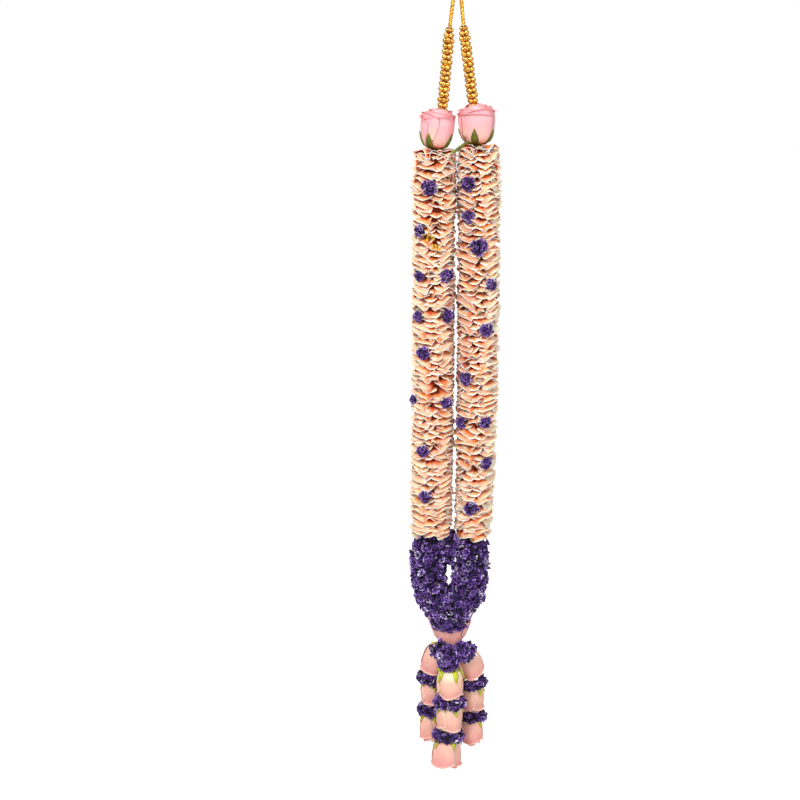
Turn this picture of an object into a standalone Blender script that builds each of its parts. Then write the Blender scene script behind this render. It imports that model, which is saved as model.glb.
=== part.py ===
"""Flower garland that hangs by its neck cord: two strands of folded rose petals with
purple statice sprigs, a statice loop that joins them below, and a rose tassel.

Metres, +Z up, +X to the right and -Y to the front. The origin is the underside of the
cord at the top of its hanging eye, where the garland bears on its hook. Every flower
that repeats closely is raised by a formula on one bent grid, so each node is one body.
"""

import math
import random

import bmesh
import bpy
from mathutils import Matrix, Vector

# Clearance between touching pieces, the thread and the bores that it runs through
GAP = 0.0003
THREAD_RADIUS = 0.0012
BORE_RADIUS = 0.0018
FLOWER_BORE_RADIUS = 0.0020

# Neck cord (x, z): up from the left bead rope, round the hook's eye and down to the right
CORD_DIAMETER = 0.0048
CORD_ROUTE = (
    (-0.0087, -0.0922), (-0.0069, -0.0770), (-0.0053, -0.0640), (-0.0038, -0.0520),
    (-0.0028, -0.0440), (-0.0025, -0.0390), (-0.0026, -0.0338), (-0.0032, -0.0282),
    (-0.0053, -0.0227), (-0.0087, -0.0178), (-0.0114, -0.0129), (-0.0118, -0.0074),
    (-0.0096, -0.0023), (-0.0053, 0.0012), (0.0000, 0.0024), (0.0053, 0.0012),
    (0.0096, -0.0023), (0.0118, -0.0074), (0.0114, -0.0129), (0.0087, -0.0178),
    (0.0053, -0.0227), (0.0032, -0.0282), (0.0026, -0.0338), (0.0025, -0.0390),
    (0.0028, -0.0440), (0.0036, -0.0520), (0.0048, -0.0640), (0.0060, -0.0770),
    (0.0073, -0.0900),
)
CORD_STEPS = 36
CORD_END = {"left": CORD_ROUTE[0], "right": CORD_ROUTE[-1]}

# Whipping that binds the cord's two sides under the eye
WHIPPING_TOP = -0.0354
WHIPPING_BOTTOM = -0.0429
WHIPPING_HALF_WIDTH = 0.0026
WHIPPING_TURNS = 3
WHIPPING_WALL = 0.0011
WHIPPING_SIDES = 10

# Bead ropes: four beads round, alternate rows turned by half a bead
BEAD_ROWS = 16
BEADS_ROUND = 4
ROPE_RADIUS = 0.0073
ROPE_HOLLOW = 0.0045
ROPE_END = {"left": (-0.0173, -0.1917), "right": (0.0202, -0.1861)}

# Top roses: base and mouth of each axis, and the widest radius
TOP_ROSES = {
    "left": {"base": (-0.0249, -0.2340), "mouth": (-0.0208, -0.1875), "radius": 0.0195},
    "right": {"base": (0.0258, -0.2285), "mouth": (0.0235, -0.1820), "radius": 0.0212},
}
TOP_ROSE_PIT_ROOM = 0.0046
TOP_ROSE_PIT_DEPTH = 0.0052

# Calyx of every rose: a short stem, and five sepals up to a share of the rose's length
CALYX_STEM = 0.004
CALYX_STEM_RADIUS = 0.0031
SEPAL_THICKNESS = 0.0009
SEPAL_REACH = 0.41
SEPAL_NOTCH = 0.17
SEPAL_CLEARANCE = 0.0006

# Petal strands: each axis runs down through three points (x, z)
STRANDS = {
    "left": ((-0.0254, -0.2387), (-0.0262, -0.5400), (-0.0288, -0.7140)),
    "right": ((0.0263, -0.2332), (0.0269, -0.5320), (0.0215, -0.7220)),
}
PETAL_ROWS = 27
PETALS_ROUND = 9
STRAND_RADIUS_TOP = 0.0278
STRAND_RADIUS_BOTTOM = 0.0262
NOTCH_SHARE = 0.78
VALLEY_SHARE = 0.58
NEIGHBOUR_SQUEEZE = 0.075
PETAL_JITTER = 0.0009

# Statice sprigs on the inner thread: depth below the hook, angle from the front, size
SPRIGS = {
    "left": (
        (0.275, -17, 0.0100), (0.327, -48, 0.0075), (0.381, -48, 0.0070),
        (0.381, 40, 0.0090), (0.431, -52, 0.0065), (0.430, 49, 0.0100),
        (0.475, -34, 0.0090), (0.537, -79, 0.0070), (0.537, 41, 0.0070),
        (0.598, -31, 0.0080), (0.655, -19, 0.0085), (0.320, 160, 0.0080),
        (0.455, -160, 0.0085), (0.600, 150, 0.0080),
    ),
    "right": (
        (0.271, -33, 0.0100), (0.310, -32, 0.0085), (0.346, 2, 0.0115),
        (0.391, 42, 0.0080), (0.446, 28, 0.0090), (0.507, -36, 0.0090),
        (0.563, -51, 0.0075), (0.561, 28, 0.0080), (0.613, 38, 0.0080),
        (0.670, -5, 0.0100), (0.350, 150, 0.0080), (0.490, -160, 0.0085),
        (0.635, 140, 0.0080),
    ),
}
SPRIG_REACH = 0.0280
SPRIG_STEM = 0.0010
SPRIG_UNDERSIDE = 0.75
SPRIG_ROOM = 0.0045
SPRIG_LIFT = 0.0014
THREAD_INTO_LOOP = 0.010

# Statice loop: each leg's axis points (x, z) and mean radius, down to the shared bottom
LOOP_LEGS = {
    "left": ((-0.0290, -0.7143, 0.0200), (-0.0320, -0.7470, 0.0222),
             (-0.0290, -0.7800, 0.0222), (-0.0183, -0.8100, 0.0190),
             (-0.0093, -0.8290, 0.0110)),
    "right": ((0.0215, -0.7223, 0.0205), (0.0228, -0.7470, 0.0222),
              (0.0195, -0.7800, 0.0222), (0.0087, -0.8100, 0.0190),
              (-0.0003, -0.8290, 0.0110)),
}
LOOP_FLORETS_ROUND = 8
LOOP_ROWS = 16
FLORET_HEIGHT = 0.0019
LOOP_CUTTER_SIDES = 12
LOOP_CUTTER_ROWS = 8

# Tie band of wrapped petals under the loop: depth and radii of each ring
BAND_CENTRE_X = -0.0053
BAND_RINGS = ((0.822, 0.0290, 0.0270), (0.835, 0.0262, 0.0248),
              (0.847, 0.0185, 0.0175), (0.856, 0.0120, 0.0120))
BAND_PETALS = 5
BAND_PETAL_STEP = 0.035
BAND_LIP = 0.0035
BAND_CLEARANCE = 0.0034
KNOT = (-0.0043, 0.0, -0.8605)
KNOT_RADIUS = 0.0036
KNOT_STUB = 0.036

# Collar tufts round the knot: centre and the three radii
COLLAR_TUFTS = {
    "front": ((-0.0073, -0.0250, -0.8640), (0.0140, 0.0105, 0.0120)),
    "right": ((0.0205, -0.0080, -0.8630), (0.0115, 0.0105, 0.0125)),
    "left": ((-0.0205, -0.0085, -0.8655), (0.0105, 0.0095, 0.0105)),
    "back": ((-0.0013, 0.0180, -0.8630), (0.0110, 0.0085, 0.0105)),
}
TUFT_STEM_RADIUS = 0.0016

# Tassel, top to bottom: each rose's base and mouth (x, y, z), radius and flare
TASSEL = {
    "left": (
        ((-0.0200, 0.0115, -0.8690), (-0.0248, 0.0140, -0.9010), 0.0160, 0.0),
        ((-0.0246, 0.0140, -0.9085), (-0.0246, 0.0140, -0.9440), 0.0158, 0.0),
        ((-0.0248, 0.0140, -0.9510), (-0.0252, 0.0140, -0.9930), 0.0162, 0.08),
    ),
    "middle": (
        ((-0.0033, -0.0220, -0.8830), (-0.0033, -0.0220, -0.9195), 0.0163, 0.0),
        ((-0.0038, -0.0220, -0.9266), (-0.0045, -0.0220, -0.9645), 0.0160, 0.0),
        ((-0.0055, -0.0220, -0.9715), (-0.0085, -0.0220, -1.0130), 0.0165, 0.28),
    ),
    "right": (
        ((0.0165, 0.0105, -0.8730), (0.0248, 0.0140, -0.9075), 0.0162, 0.0),
        ((0.0250, 0.0140, -0.9160), (0.0245, 0.0140, -0.9525), 0.0160, 0.0),
        ((0.0238, 0.0140, -0.9595), (0.0242, 0.0140, -0.9975), 0.0164, 0.10),
    ),
}
RING_SECTION = ((0.0068, -0.0050), (0.0165, -0.0060), (0.0212, -0.0022),
                (0.0212, 0.0034), (0.0188, 0.0074), (0.0157, 0.0024))
RING_DROPS = {"left": (0.0, 0.0012), "middle": (0.0011, 0.0009), "right": (-0.0004, 0.0005)}
RING_FLORET = 0.0012
RING_FLORETS_ROUND = 7

# Rose outlines from the base to the heart: share of radius, share of length
TOP_ROSE_OUTSIDE = ((0.28, 0.00), (0.70, 0.10), (0.91, 0.30), (1.00, 0.60), (0.97, 0.84),
                    (1.05, 0.95))
TOP_ROSE_HEART = ((0.92, 0.98), (0.80, 0.86), (0.72, 1.02), (0.64, 0.92))
TASSEL_ROSE_OUTSIDE = ((0.28, 0.00), (0.70, 0.10), (0.91, 0.30), (1.00, 0.66), (1.06, 0.94))
TASSEL_ROSE_HEART = ((0.84, 0.95), (0.62, 0.84), (0.46, 0.99))
TASSEL_ROSE_PIT = (0.33, 0.0035)
ROSE_PETALS = 5
ROSE_COLUMNS = 15
PETAL_STEP = 0.045
RIM_WAVE = 0.0012

COLOURS = {
    "gold_cord": (0.78, 0.52, 0.10),
    "gold_bead": (0.72, 0.42, 0.05),
    "pink_rose": (0.86, 0.46, 0.48),
    "peach_petal": (0.93, 0.60, 0.42),
    "blush_rose": (0.88, 0.52, 0.44),
    "sepal_green": (0.22, 0.32, 0.04),
    "statice": (0.14, 0.07, 0.30),
    "thread": (0.80, 0.74, 0.60),
}
METAL_COLOURS = ("gold_bead",)


def clear_scene():
    """Remove every object that the file opens with."""
    for old in list(bpy.data.objects):
        bpy.data.objects.remove(old, do_unlink=True)


def make_collection(name):
    """Add a collection to the scene."""
    group = bpy.data.collections.new(name)
    bpy.context.scene.collection.children.link(group)
    return group


def make_material(name, colour):
    """A Principled material of the named colour."""
    material = bpy.data.materials.new(name)
    material.use_nodes = True
    shader = material.node_tree.nodes["Principled BSDF"]
    shader.inputs["Base Color"].default_value = (*COLOURS[colour], 1.0)
    metal = colour in METAL_COLOURS
    shader.inputs["Metallic"].default_value = 1.0 if metal else 0.0
    shader.inputs["Roughness"].default_value = 0.3 if metal else 0.6
    return material


def add_object(name, mesh, group, colour):
    """Put a mesh in the scene as a named sub-part with its own material."""
    piece = bpy.data.objects.new(name, mesh)
    group.objects.link(piece)
    if colour:
        mesh.materials.clear()
        mesh.materials.append(make_material(name, colour))
    return piece


def bent_grid(name, columns, rows, place, ring=False):
    """A flat grid bent round into a tube, or into a closed ring, by place(column, row).

    The seam's doubles are merged. A tube has rows + 1 loops of points, and each of its
    ends is closed with a fan.
    """
    shape = bmesh.new()
    bmesh.ops.create_grid(shape, x_segments=columns, y_segments=rows, size=0.5)
    for point in shape.verts:
        column = round((point.co.x + 0.5) * columns) % columns
        row = round((point.co.y + 0.5) * rows)
        point.co = place(column, row % rows if ring else row)
    bmesh.ops.remove_doubles(shape, verts=shape.verts, dist=1e-6)
    bmesh.ops.triangulate(shape, faces=shape.faces, quad_method="SHORT_EDGE")
    rims = [edge for edge in shape.edges if edge.is_boundary]
    if rims:
        caps = bmesh.ops.holes_fill(shape, edges=rims, sides=0)["faces"]
        bmesh.ops.poke(shape, faces=caps)
    bmesh.ops.recalc_face_normals(shape, faces=shape.faces)
    mesh = bpy.data.meshes.new(name)
    shape.to_mesh(mesh)
    shape.free()
    return mesh


def fuse(name, pieces, group, colour, operation="UNION", tools=None):
    """Join the pieces in one Boolean union, or cut the tools from the first piece."""
    body = pieces[0]
    others = make_collection(name + "_others")
    for other in (tools if tools is not None else pieces[1:]):
        for owner in list(other.users_collection):
            owner.objects.unlink(other)
        others.objects.link(other)
    join = body.modifiers.new(operation.title(), "BOOLEAN")
    join.operation = operation
    join.operand_type = "COLLECTION"
    join.collection = others
    join.solver = "MANIFOLD"
    bpy.context.view_layer.update()
    evaluated = body.evaluated_get(bpy.context.evaluated_depsgraph_get())
    mesh = bpy.data.meshes.new_from_object(evaluated)
    keep_main_shell(mesh)
    for used in [body, *others.objects]:
        bpy.data.objects.remove(used, do_unlink=True)
    bpy.data.collections.remove(others)
    return add_object(name, mesh, group, colour)


def keep_main_shell(mesh):
    """Keep a mesh's largest shell: sealed hollows are filled and loose scraps dropped."""
    shape = bmesh.new()
    shape.from_mesh(mesh)
    left = set(shape.verts)
    shells = []
    while left:
        shell, edge_of_search = set(), [left.pop()]
        while edge_of_search:
            point = edge_of_search.pop()
            shell.add(point)
            for edge in point.link_edges:
                other = edge.other_vert(point)
                if other in left:
                    left.remove(other)
                    edge_of_search.append(other)
        shells.append(shell)
    main_shell = max(shells, key=len)
    extra = [point for point in shape.verts if point not in main_shell]
    bmesh.ops.delete(shape, geom=extra, context="VERTS")
    shape.to_mesh(mesh)
    shape.free()


def tube(name, points, radius, group, colour, resolution=2):
    """A thread or cord: a poly curve with a bevel and filled caps."""
    curve = bpy.data.curves.new(name, "CURVE")
    curve.dimensions = "3D"
    curve.bevel_depth = radius
    curve.bevel_resolution = resolution
    curve.use_fill_caps = True
    spline = curve.splines.new("POLY")
    spline.points.add(len(points) - 1)
    for knot, point in zip(spline.points, points):
        knot.co = (*point, 1.0)
    piece = bpy.data.objects.new(name, curve)
    group.objects.link(piece)
    if colour:
        curve.materials.append(make_material(name, colour))
    return piece


def tube_as_mesh(name, points, radius, group):
    """The same tube as a closed mesh, ready to be joined or to cut."""
    piece = tube(name, points, radius, group, None, resolution=1)
    bpy.context.view_layer.update()
    evaluated = piece.evaluated_get(bpy.context.evaluated_depsgraph_get())
    mesh = bpy.data.meshes.new_from_object(evaluated)
    bpy.data.objects.remove(piece, do_unlink=True)
    shape = bmesh.new()
    shape.from_mesh(mesh)
    bmesh.ops.remove_doubles(shape, verts=shape.verts, dist=1e-6)
    bmesh.ops.recalc_face_normals(shape, faces=shape.faces)
    shape.to_mesh(mesh)
    shape.free()
    return add_object(name, mesh, group, None)


def in_plane(point):
    """A point given as (x, z) in the garland's own plane."""
    return Vector((point[0], 0.0, point[1]))


def along(points, share):
    """The point at a share of the way along a run of straight stretches."""
    lengths = [(b - a).length for a, b in zip(points, points[1:])]
    left = share * sum(lengths)
    for start, end, length in zip(points, points[1:], lengths):
        if left <= length:
            return start.lerp(end, left / length)
        left -= length
    return points[-1].copy()


def smooth_along(points, share):
    """The point at a share of the way through a smooth curve through the points."""
    spans = len(points) - 1
    place = min(share * spans, spans - 1e-9)
    index = int(place)
    t = place - index
    before = points[max(index - 1, 0)]
    start, end = points[index], points[index + 1]
    after = points[min(index + 2, spans)]
    enter, leave = (end - before) / 2, (after - start) / 2
    return (start * (2 * t**3 - 3 * t**2 + 1) + enter * (t**3 - 2 * t**2 + t)
            + end * (3 * t**2 - 2 * t**3) + leave * (t**3 - t**2))


def coarse_angle(column, columns, sides):
    """The angle of a grid column drawn in to the nearest of a bore's fewer sides."""
    return math.tau * (column * sides // columns) / sides


def frame_at(origin, direction):
    """A matrix whose local Z runs along the direction, from the origin."""
    return Matrix.Translation(origin) @ direction.to_track_quat("Z", "Y").to_matrix().to_4x4()


def make_neck_cord(group):
    """The cord that hangs over the hook: a tube along one smooth curve."""
    route = [in_plane(point) for point in CORD_ROUTE]
    points = [smooth_along(route, step / CORD_STEPS) for step in range(CORD_STEPS + 1)]
    tube("neck_cord", points, CORD_DIAMETER / 2, group, "gold_cord")


def make_neck_whipping(group):
    """The binding round both sides of the cord: a ribbed sleeve of thread turns."""
    inner = CORD_DIAMETER / 2 + GAP
    outer = inner + WHIPPING_WALL
    outside = 2 * WHIPPING_TURNS + 1
    stretch = 1 / math.cos(math.pi / WHIPPING_SIDES)

    def place(column, row):
        angle = math.tau * column / WHIPPING_SIDES
        wall = row < outside
        share = row / (outside - 1) if wall else (1.0 if row == outside else 0.0)
        radius = stretch * (outer + 0.0006 * (row % 2) if wall else inner)
        offset = math.copysign(WHIPPING_HALF_WIDTH, math.cos(angle))
        height = WHIPPING_BOTTOM + (WHIPPING_TOP - WHIPPING_BOTTOM) * share
        return Vector((offset + radius * math.cos(angle), radius * math.sin(angle), height))

    mesh = bent_grid("neck_whipping", WHIPPING_SIDES, outside + 2, place, ring=True)
    add_object("neck_whipping", mesh, group, "gold_cord")


def make_bead_rope(side, group):
    """One rope of gold beads: the beads bulge in staggered rows round a dark core."""
    start, end = in_plane(CORD_END[side]), in_plane(ROPE_END[side])
    start = start + (end - start).normalized() * GAP
    frame = frame_at(start, end - start)
    length = (end - start).length
    columns = 2 * BEADS_ROUND
    rings = 2 * BEAD_ROWS + 1

    def place(column, ring):
        bead_row, part = divmod(ring - 1, 2)
        on_bead = (column + bead_row) % 2 == 0 and 0 < ring < rings
        radius = ROPE_RADIUS if on_bead else ROPE_HOLLOW
        angle = math.tau * column / columns
        depth = length * min(max(bead_row + (0.30, 0.70)[part], 0.0), BEAD_ROWS) / BEAD_ROWS
        if ring in (0, rings):
            depth = length if ring else 0.0
        return frame @ Vector((radius * math.cos(angle), radius * math.sin(angle), depth))

    name = "bead_rope_" + side
    add_object(name, bent_grid(name, columns, rings, place), group, "gold_bead")


def rose_mesh(name, base, mouth, radius, outside, heart, pit, flare=0.0):
    """A rose on its thread: overlapped outer petals, a curled rim and inner whorls.

    pit is the radius and depth of the hollow at its heart, and flare widens the mouth.
    """
    frame = frame_at(base, mouth - base)
    length = (mouth - base).length
    outline = [(FLOWER_BORE_RADIUS, 0.0)]
    for share, height in outside + heart:
        share *= 1 + flare * max(0.0, height - 0.3) / 0.7
        outline.append((share * radius, height * length))
    outline += [(pit[0], length - pit[1]), (FLOWER_BORE_RADIUS, length - pit[1])]
    stepped = range(3, len(outline) - 2)
    per_petal = ROSE_COLUMNS // ROSE_PETALS
    rim = len(outside)

    def place(column, ring):
        ring_radius, height = outline[ring]
        part = column % per_petal
        if ring in stepped:
            turned = (part + (ring > rim + 1)) % per_petal
            ring_radius *= 1 + PETAL_STEP * (turned - 1)
        if ring == rim:
            height += RIM_WAVE * (1 if part == 1 else -1)
        angle = math.tau * column / ROSE_COLUMNS
        if ring in (0, len(outline) - 1):
            angle = coarse_angle(column, ROSE_COLUMNS, ROSE_PETALS)
        return frame @ Vector((ring_radius * math.cos(angle),
                               ring_radius * math.sin(angle), height))

    return bent_grid(name, ROSE_COLUMNS, len(outline), place, ring=True)


def calyx_mesh(name, base, mouth, radius):
    """The green cup at a rose's base, with five pointed sepals laid up its side."""
    frame = frame_at(base, mouth - base)
    length = (mouth - base).length
    columns = 2 * ROSE_PETALS
    flat = math.cos(math.pi / columns)
    (foot, _), (belly, belly_height) = TOP_ROSE_OUTSIDE[:2]
    foot, belly_height = foot * radius, belly_height * length
    belly = (belly * radius + SEPAL_CLEARANCE) / flat
    tip_inner = 1.06 * radius + SEPAL_CLEARANCE
    notch_inner = 0.86 * radius + SEPAL_CLEARANCE

    def place(column, ring):
        tip = column % 2 == 0
        edge = tip_inner if tip else notch_inner
        edge_height = (SEPAL_REACH if tip else SEPAL_NOTCH) * length
        rings = (
            (FLOWER_BORE_RADIUS, -CALYX_STEM),
            (CALYX_STEM_RADIUS, -CALYX_STEM),
            (belly + SEPAL_THICKNESS, belly_height - 0.0010),
            (edge + SEPAL_THICKNESS, edge_height - 0.0003),
            (edge, edge_height),
            (belly, belly_height - 0.0002),
            (foot, -SEPAL_CLEARANCE),
            (FLOWER_BORE_RADIUS, -SEPAL_CLEARANCE),
        )
        ring_radius, height = rings[ring]
        angle = math.tau * column / columns
        if ring in (0, 7):
            angle = coarse_angle(column, columns, ROSE_PETALS)
        return frame @ Vector((ring_radius * math.cos(angle),
                               ring_radius * math.sin(angle), height))

    return bent_grid(name, columns, 8, place, ring=True)


def make_top_rose(side, group):
    """A pink rose that opens upwards round the foot of its bead rope."""
    rose = TOP_ROSES[side]
    base, mouth, radius = in_plane(rose["base"]), in_plane(rose["mouth"]), rose["radius"]
    name = "top_rose_" + side
    pit = (ROPE_RADIUS + TOP_ROSE_PIT_ROOM, TOP_ROSE_PIT_DEPTH)
    mesh = rose_mesh(name + "_petals", base, mouth, radius, TOP_ROSE_OUTSIDE,
                     TOP_ROSE_HEART, pit)
    add_object(name + "_petals", mesh, group, "pink_rose")
    mesh = calyx_mesh(name + "_calyx", base, mouth, radius)
    add_object(name + "_calyx", mesh, group, "sepal_green")


def thread_points(side):
    """The inner thread from the bead rope's foot down to the top of the statice loop."""
    rose = TOP_ROSES[side]
    strand = [in_plane(point) for point in STRANDS[side]]
    heart = in_plane(rose["base"]).lerp(in_plane(rose["mouth"]), 0.87)
    leg = [in_plane(point[:2]) for point in LOOP_LEGS[side][:2]]
    into_loop = leg[0] + (leg[1] - leg[0]).normalized() * THREAD_INTO_LOOP
    base = in_plane(rose["base"])
    stem = base + (base - in_plane(rose["mouth"])).normalized() * CALYX_STEM
    return [heart, stem, strand[0], strand[1], strand[2], into_loop]


def strand_axis(side, depth):
    """The point on a petal strand's axis at a depth below the hook."""
    points = [in_plane(point) for point in STRANDS[side]]
    for start, end in zip(points, points[1:]):
        if -depth >= end.z:
            return start.lerp(end, (start.z + depth) / (start.z - end.z))
    return points[-1].copy()


def sprig_frame(side, depth, angle):
    """A sprig's own frame: its root on the thread, its Z pointing out of the strand."""
    turn = math.radians(angle)
    outward = Vector((math.sin(turn), -math.cos(turn), -0.10))
    return frame_at(strand_axis(side, depth), outward)


def sprig_mesh(name, side, depth, angle, size, chance):
    """A statice sprig: a bunch that widens from its root to a bumpy floret head."""
    frame = sprig_frame(side, depth, angle)
    outline = ((SPRIG_STEM, 0.0), (SPRIG_STEM, SPRIG_REACH - SPRIG_UNDERSIDE * size),
               (0.95 * size, SPRIG_REACH - 0.50 * size),
               (0.70 * size, SPRIG_REACH - 0.10 * size))
    columns = 8
    jitter = [[chance.uniform(-0.06, 0.06) for _ in range(columns)] for _ in outline]

    def place(column, row):
        radius, height = outline[row]
        turn = math.tau * column / columns
        if row > 1:
            radius *= 1 + (0.12 if (column + row) % 2 else -0.12) + jitter[row][column]
            height += size * jitter[row][column]
        else:
            radius *= math.sqrt(2)
            turn = coarse_angle(column, columns, 4)
        return frame @ Vector((radius * math.cos(turn), radius * math.sin(turn), height))

    return bent_grid(name, columns, len(outline) - 1, place)


def sprig_bore(name, side, depth, angle, group):
    """The square hole through the petals that a sprig's stem stands in."""
    frame = sprig_frame(side, depth, angle)
    radius = (SPRIG_STEM + GAP) * math.sqrt(2)
    shape = bmesh.new()
    bmesh.ops.create_cone(
        shape, cap_ends=True, segments=4, radius1=radius, radius2=radius,
        depth=SPRIG_REACH, matrix=frame @ Matrix.Translation((0.0, 0.0, SPRIG_REACH / 2)))
    mesh = bpy.data.meshes.new(name)
    shape.to_mesh(mesh)
    shape.free()
    cutter = add_object(name, mesh, group, None)
    cutter.hide_render = True
    cutter.display_type = "WIRE"
    return cutter


def sprig_floor(side, point, centre):
    """How far out the petals may stand at a point, so that a sprig's head lies on them."""
    floor = math.inf
    for depth, angle, size in SPRIGS[side]:
        frame = sprig_frame(side, depth, angle)
        across = frame.inverted() @ point
        beside = math.hypot(across.x, across.y)
        if across.z > 0 and beside < size + SPRIG_ROOM:
            floor = min(floor, SPRIG_REACH - SPRIG_UNDERSIDE * size - SPRIG_LIFT)
    return floor


def make_petal_strand(side, group, cutters):
    """One sleeve of folded petals: rows of drooping tips, each over the next valley."""
    chance = random.Random("petals " + side)
    axis = [in_plane(point) for point in STRANDS[side]]
    columns = 2 * PETALS_ROUND
    outside = 2 * PETAL_ROWS + 1
    facing = 0.0 if side == "left" else math.pi
    shake = [[chance.uniform(-1, 1) for _ in range(columns)] for _ in range(outside)]
    lower = [axis[2], axis[1], axis[0]]

    def place(column, ring):
        angle = math.tau * (column + 0.5) / columns
        if ring >= outside:
            angle = coarse_angle(column, columns, 6)
            return lower[ring - outside] + Vector((FLOWER_BORE_RADIUS * math.cos(angle),
                                                   FLOWER_BORE_RADIUS * math.sin(angle), 0.0))
        row = ring / 2
        share = min(row / PETAL_ROWS, 1.0)
        full = STRAND_RADIUS_TOP + (STRAND_RADIUS_BOTTOM - STRAND_RADIUS_TOP) * share
        full *= 1 - NEIGHBOUR_SQUEEZE * max(0.0, math.cos(angle - facing)) ** 2
        if ring % 2 == 0:
            radius, drop = VALLEY_SHARE * full, 0.0
            if ring in (0, outside - 1):
                radius = 0.45 * full
        else:
            tip = (column + (ring - 1) // 2) % 2 == 0
            radius = full - 0.0006 if tip else NOTCH_SHARE * full
            radius += PETAL_JITTER * min(shake[ring][column], 0.5)
            drop = (0.36 if tip else 0.06) + 0.10 * shake[ring][column]
            if ring == 1 and not tip:
                drop -= 0.35
            if ring == outside - 2:
                drop = min(drop, 0.30)
        centre = along(axis, max(0.0, (row + drop) / PETAL_ROWS))
        outward = Vector((math.cos(angle), math.sin(angle), 0.0))
        radius = min(radius, sprig_floor(side, centre + outward * radius, centre))
        return centre + outward * radius

    name = "petal_strand_" + side
    sleeve = add_object(name + "_plain", bent_grid(name, columns, outside + 3, place, ring=True),
                        group, None)
    bores = [sprig_bore(f"{name}_bore_{index}", side, depth, angle, cutters)
             for index, (depth, angle, _size) in enumerate(SPRIGS[side])]
    fuse(name, [sleeve], group, "peach_petal", "DIFFERENCE", bores)


def make_sprig_string(side, group):
    """The inner thread of one strand with the statice sprigs that are tied to it."""
    chance = random.Random("sprigs " + side)
    name = "sprig_string_" + side
    pieces = [tube_as_mesh(name + "_thread", thread_points(side), THREAD_RADIUS, group)]
    for index, sprig in enumerate(SPRIGS[side]):
        part = f"{name}_{index}"
        pieces.append(add_object(part, sprig_mesh(part, side, *sprig, chance), group, None))
    fuse(name, pieces, group, "statice")


def leg_mesh(name, side, grow=0.0, florets=True):
    """One leg of the statice loop, bumpy with florets, or a smooth one grown for cutting."""
    chance = random.Random("loop " + side)
    points = [Vector((x, z, radius)) for x, z, radius in LOOP_LEGS[side]]
    columns = 2 * LOOP_FLORETS_ROUND if florets else LOOP_CUTTER_SIDES
    rows = LOOP_ROWS if florets else LOOP_CUTTER_ROWS
    shake = [[chance.uniform(-0.5, 0.5) for _ in range(columns)] for _ in range(rows + 1)]

    def place(column, row):
        share = row / rows
        x, z, radius = smooth_along(points, share)
        ahead = smooth_along(points, min(share + 0.01, 1.0))
        behind = smooth_along(points, max(share - 0.01, 0.0))
        down = Vector((ahead.x - behind.x, 0.0, ahead.y - behind.y)).normalized()
        down = Vector((0.0, 0.0, -1.0)).lerp(down, min(1.0, 3 * share))
        across = Vector((-down.z, 0.0, down.x)).normalized()
        if florets and 0 < row:
            side_step = 1 if (column + row) % 2 else -1
            radius += FLORET_HEIGHT * (side_step + shake[row][column])
        radius += grow
        sunk = down * (grow if row == rows else 0.0)
        turn = math.tau * column / columns
        return (Vector((x, 0.0, z)) + sunk + across * radius * math.cos(turn)
                + Vector((0.0, radius * math.sin(turn), 0.0)))

    return bent_grid(name, columns, rows, place)


def make_statice_loop(group, cutters):
    """The purple loop under the strands: two legs that join, with a bore for each thread."""
    name = "statice_loop"
    legs = [add_object(f"{name}_{side}", leg_mesh(name, side), group, None)
            for side in ("left", "right")]
    joined = fuse(name + "_joined", legs, group, None)
    bores = []
    for side in ("left", "right"):
        *_, foot, end = thread_points(side)
        way = (end - foot).normalized()
        bores.append(tube_as_mesh(f"{name}_bore_{side}",
                                  [foot - way * 0.002, end + way * GAP], BORE_RADIUS, cutters))
    knot = Vector(KNOT)
    stub = [knot, knot + Vector((0.0, 0.0, KNOT_STUB))]
    bores.append(tube_as_mesh(name + "_bore_knot", stub, BORE_RADIUS, cutters))
    fuse(name, [joined], group, "statice", "DIFFERENCE", bores)


def make_tie_band(group, cutters):
    """The bowl of wrapped petals that the loop's bottom sits in."""
    name = "tie_band"
    columns = 3 * BAND_PETALS

    def place(column, row):
        depth, wide, deep = BAND_RINGS[row]
        part = column % 3
        grow = 1 + BAND_PETAL_STEP * (part - 1) * (row < 3)
        lift = BAND_LIP * (1 if part == 1 else -0.6) if row == 0 else 0.0
        angle = math.tau * column / columns
        return Vector((BAND_CENTRE_X + wide * grow * math.cos(angle),
                       deep * grow * math.sin(angle), lift - depth))

    bowl = add_object(name + "_plain", bent_grid(name, columns, len(BAND_RINGS) - 1, place),
                      group, None)
    tools = [add_object(f"{name}_{side}", leg_mesh(name, side, BAND_CLEARANCE, False),
                        cutters, None) for side in ("left", "right")]
    knot = Vector(KNOT)
    stub = [knot, knot + Vector((0.0, 0.0, KNOT_STUB))]
    tools.append(tube_as_mesh(name + "_bore", stub, BORE_RADIUS, cutters))
    fuse(name, [bowl], group, "blush_rose", "DIFFERENCE", tools)


def tassel_routes():
    """Each tassel thread: from the knot through its three roses."""
    routes = []
    for roses in TASSEL.values():
        route = [Vector(KNOT)]
        for base, mouth, _radius, _flare in roses:
            base, mouth = Vector(base), Vector(mouth)
            way = (mouth - base).normalized()
            route += [base - way * (CALYX_STEM + 0.001), mouth - way * 0.006]
        routes.append(route)
    return routes


def knot_ball(name, radius, group):
    """The knot that gathers the tassel's threads."""
    mesh = bpy.data.meshes.new(name)
    shape = bmesh.new()
    bmesh.ops.create_icosphere(shape, subdivisions=1, radius=radius,
                               matrix=Matrix.Translation(KNOT))
    shape.to_mesh(mesh)
    shape.free()
    return add_object(name, mesh, group, None)


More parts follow.
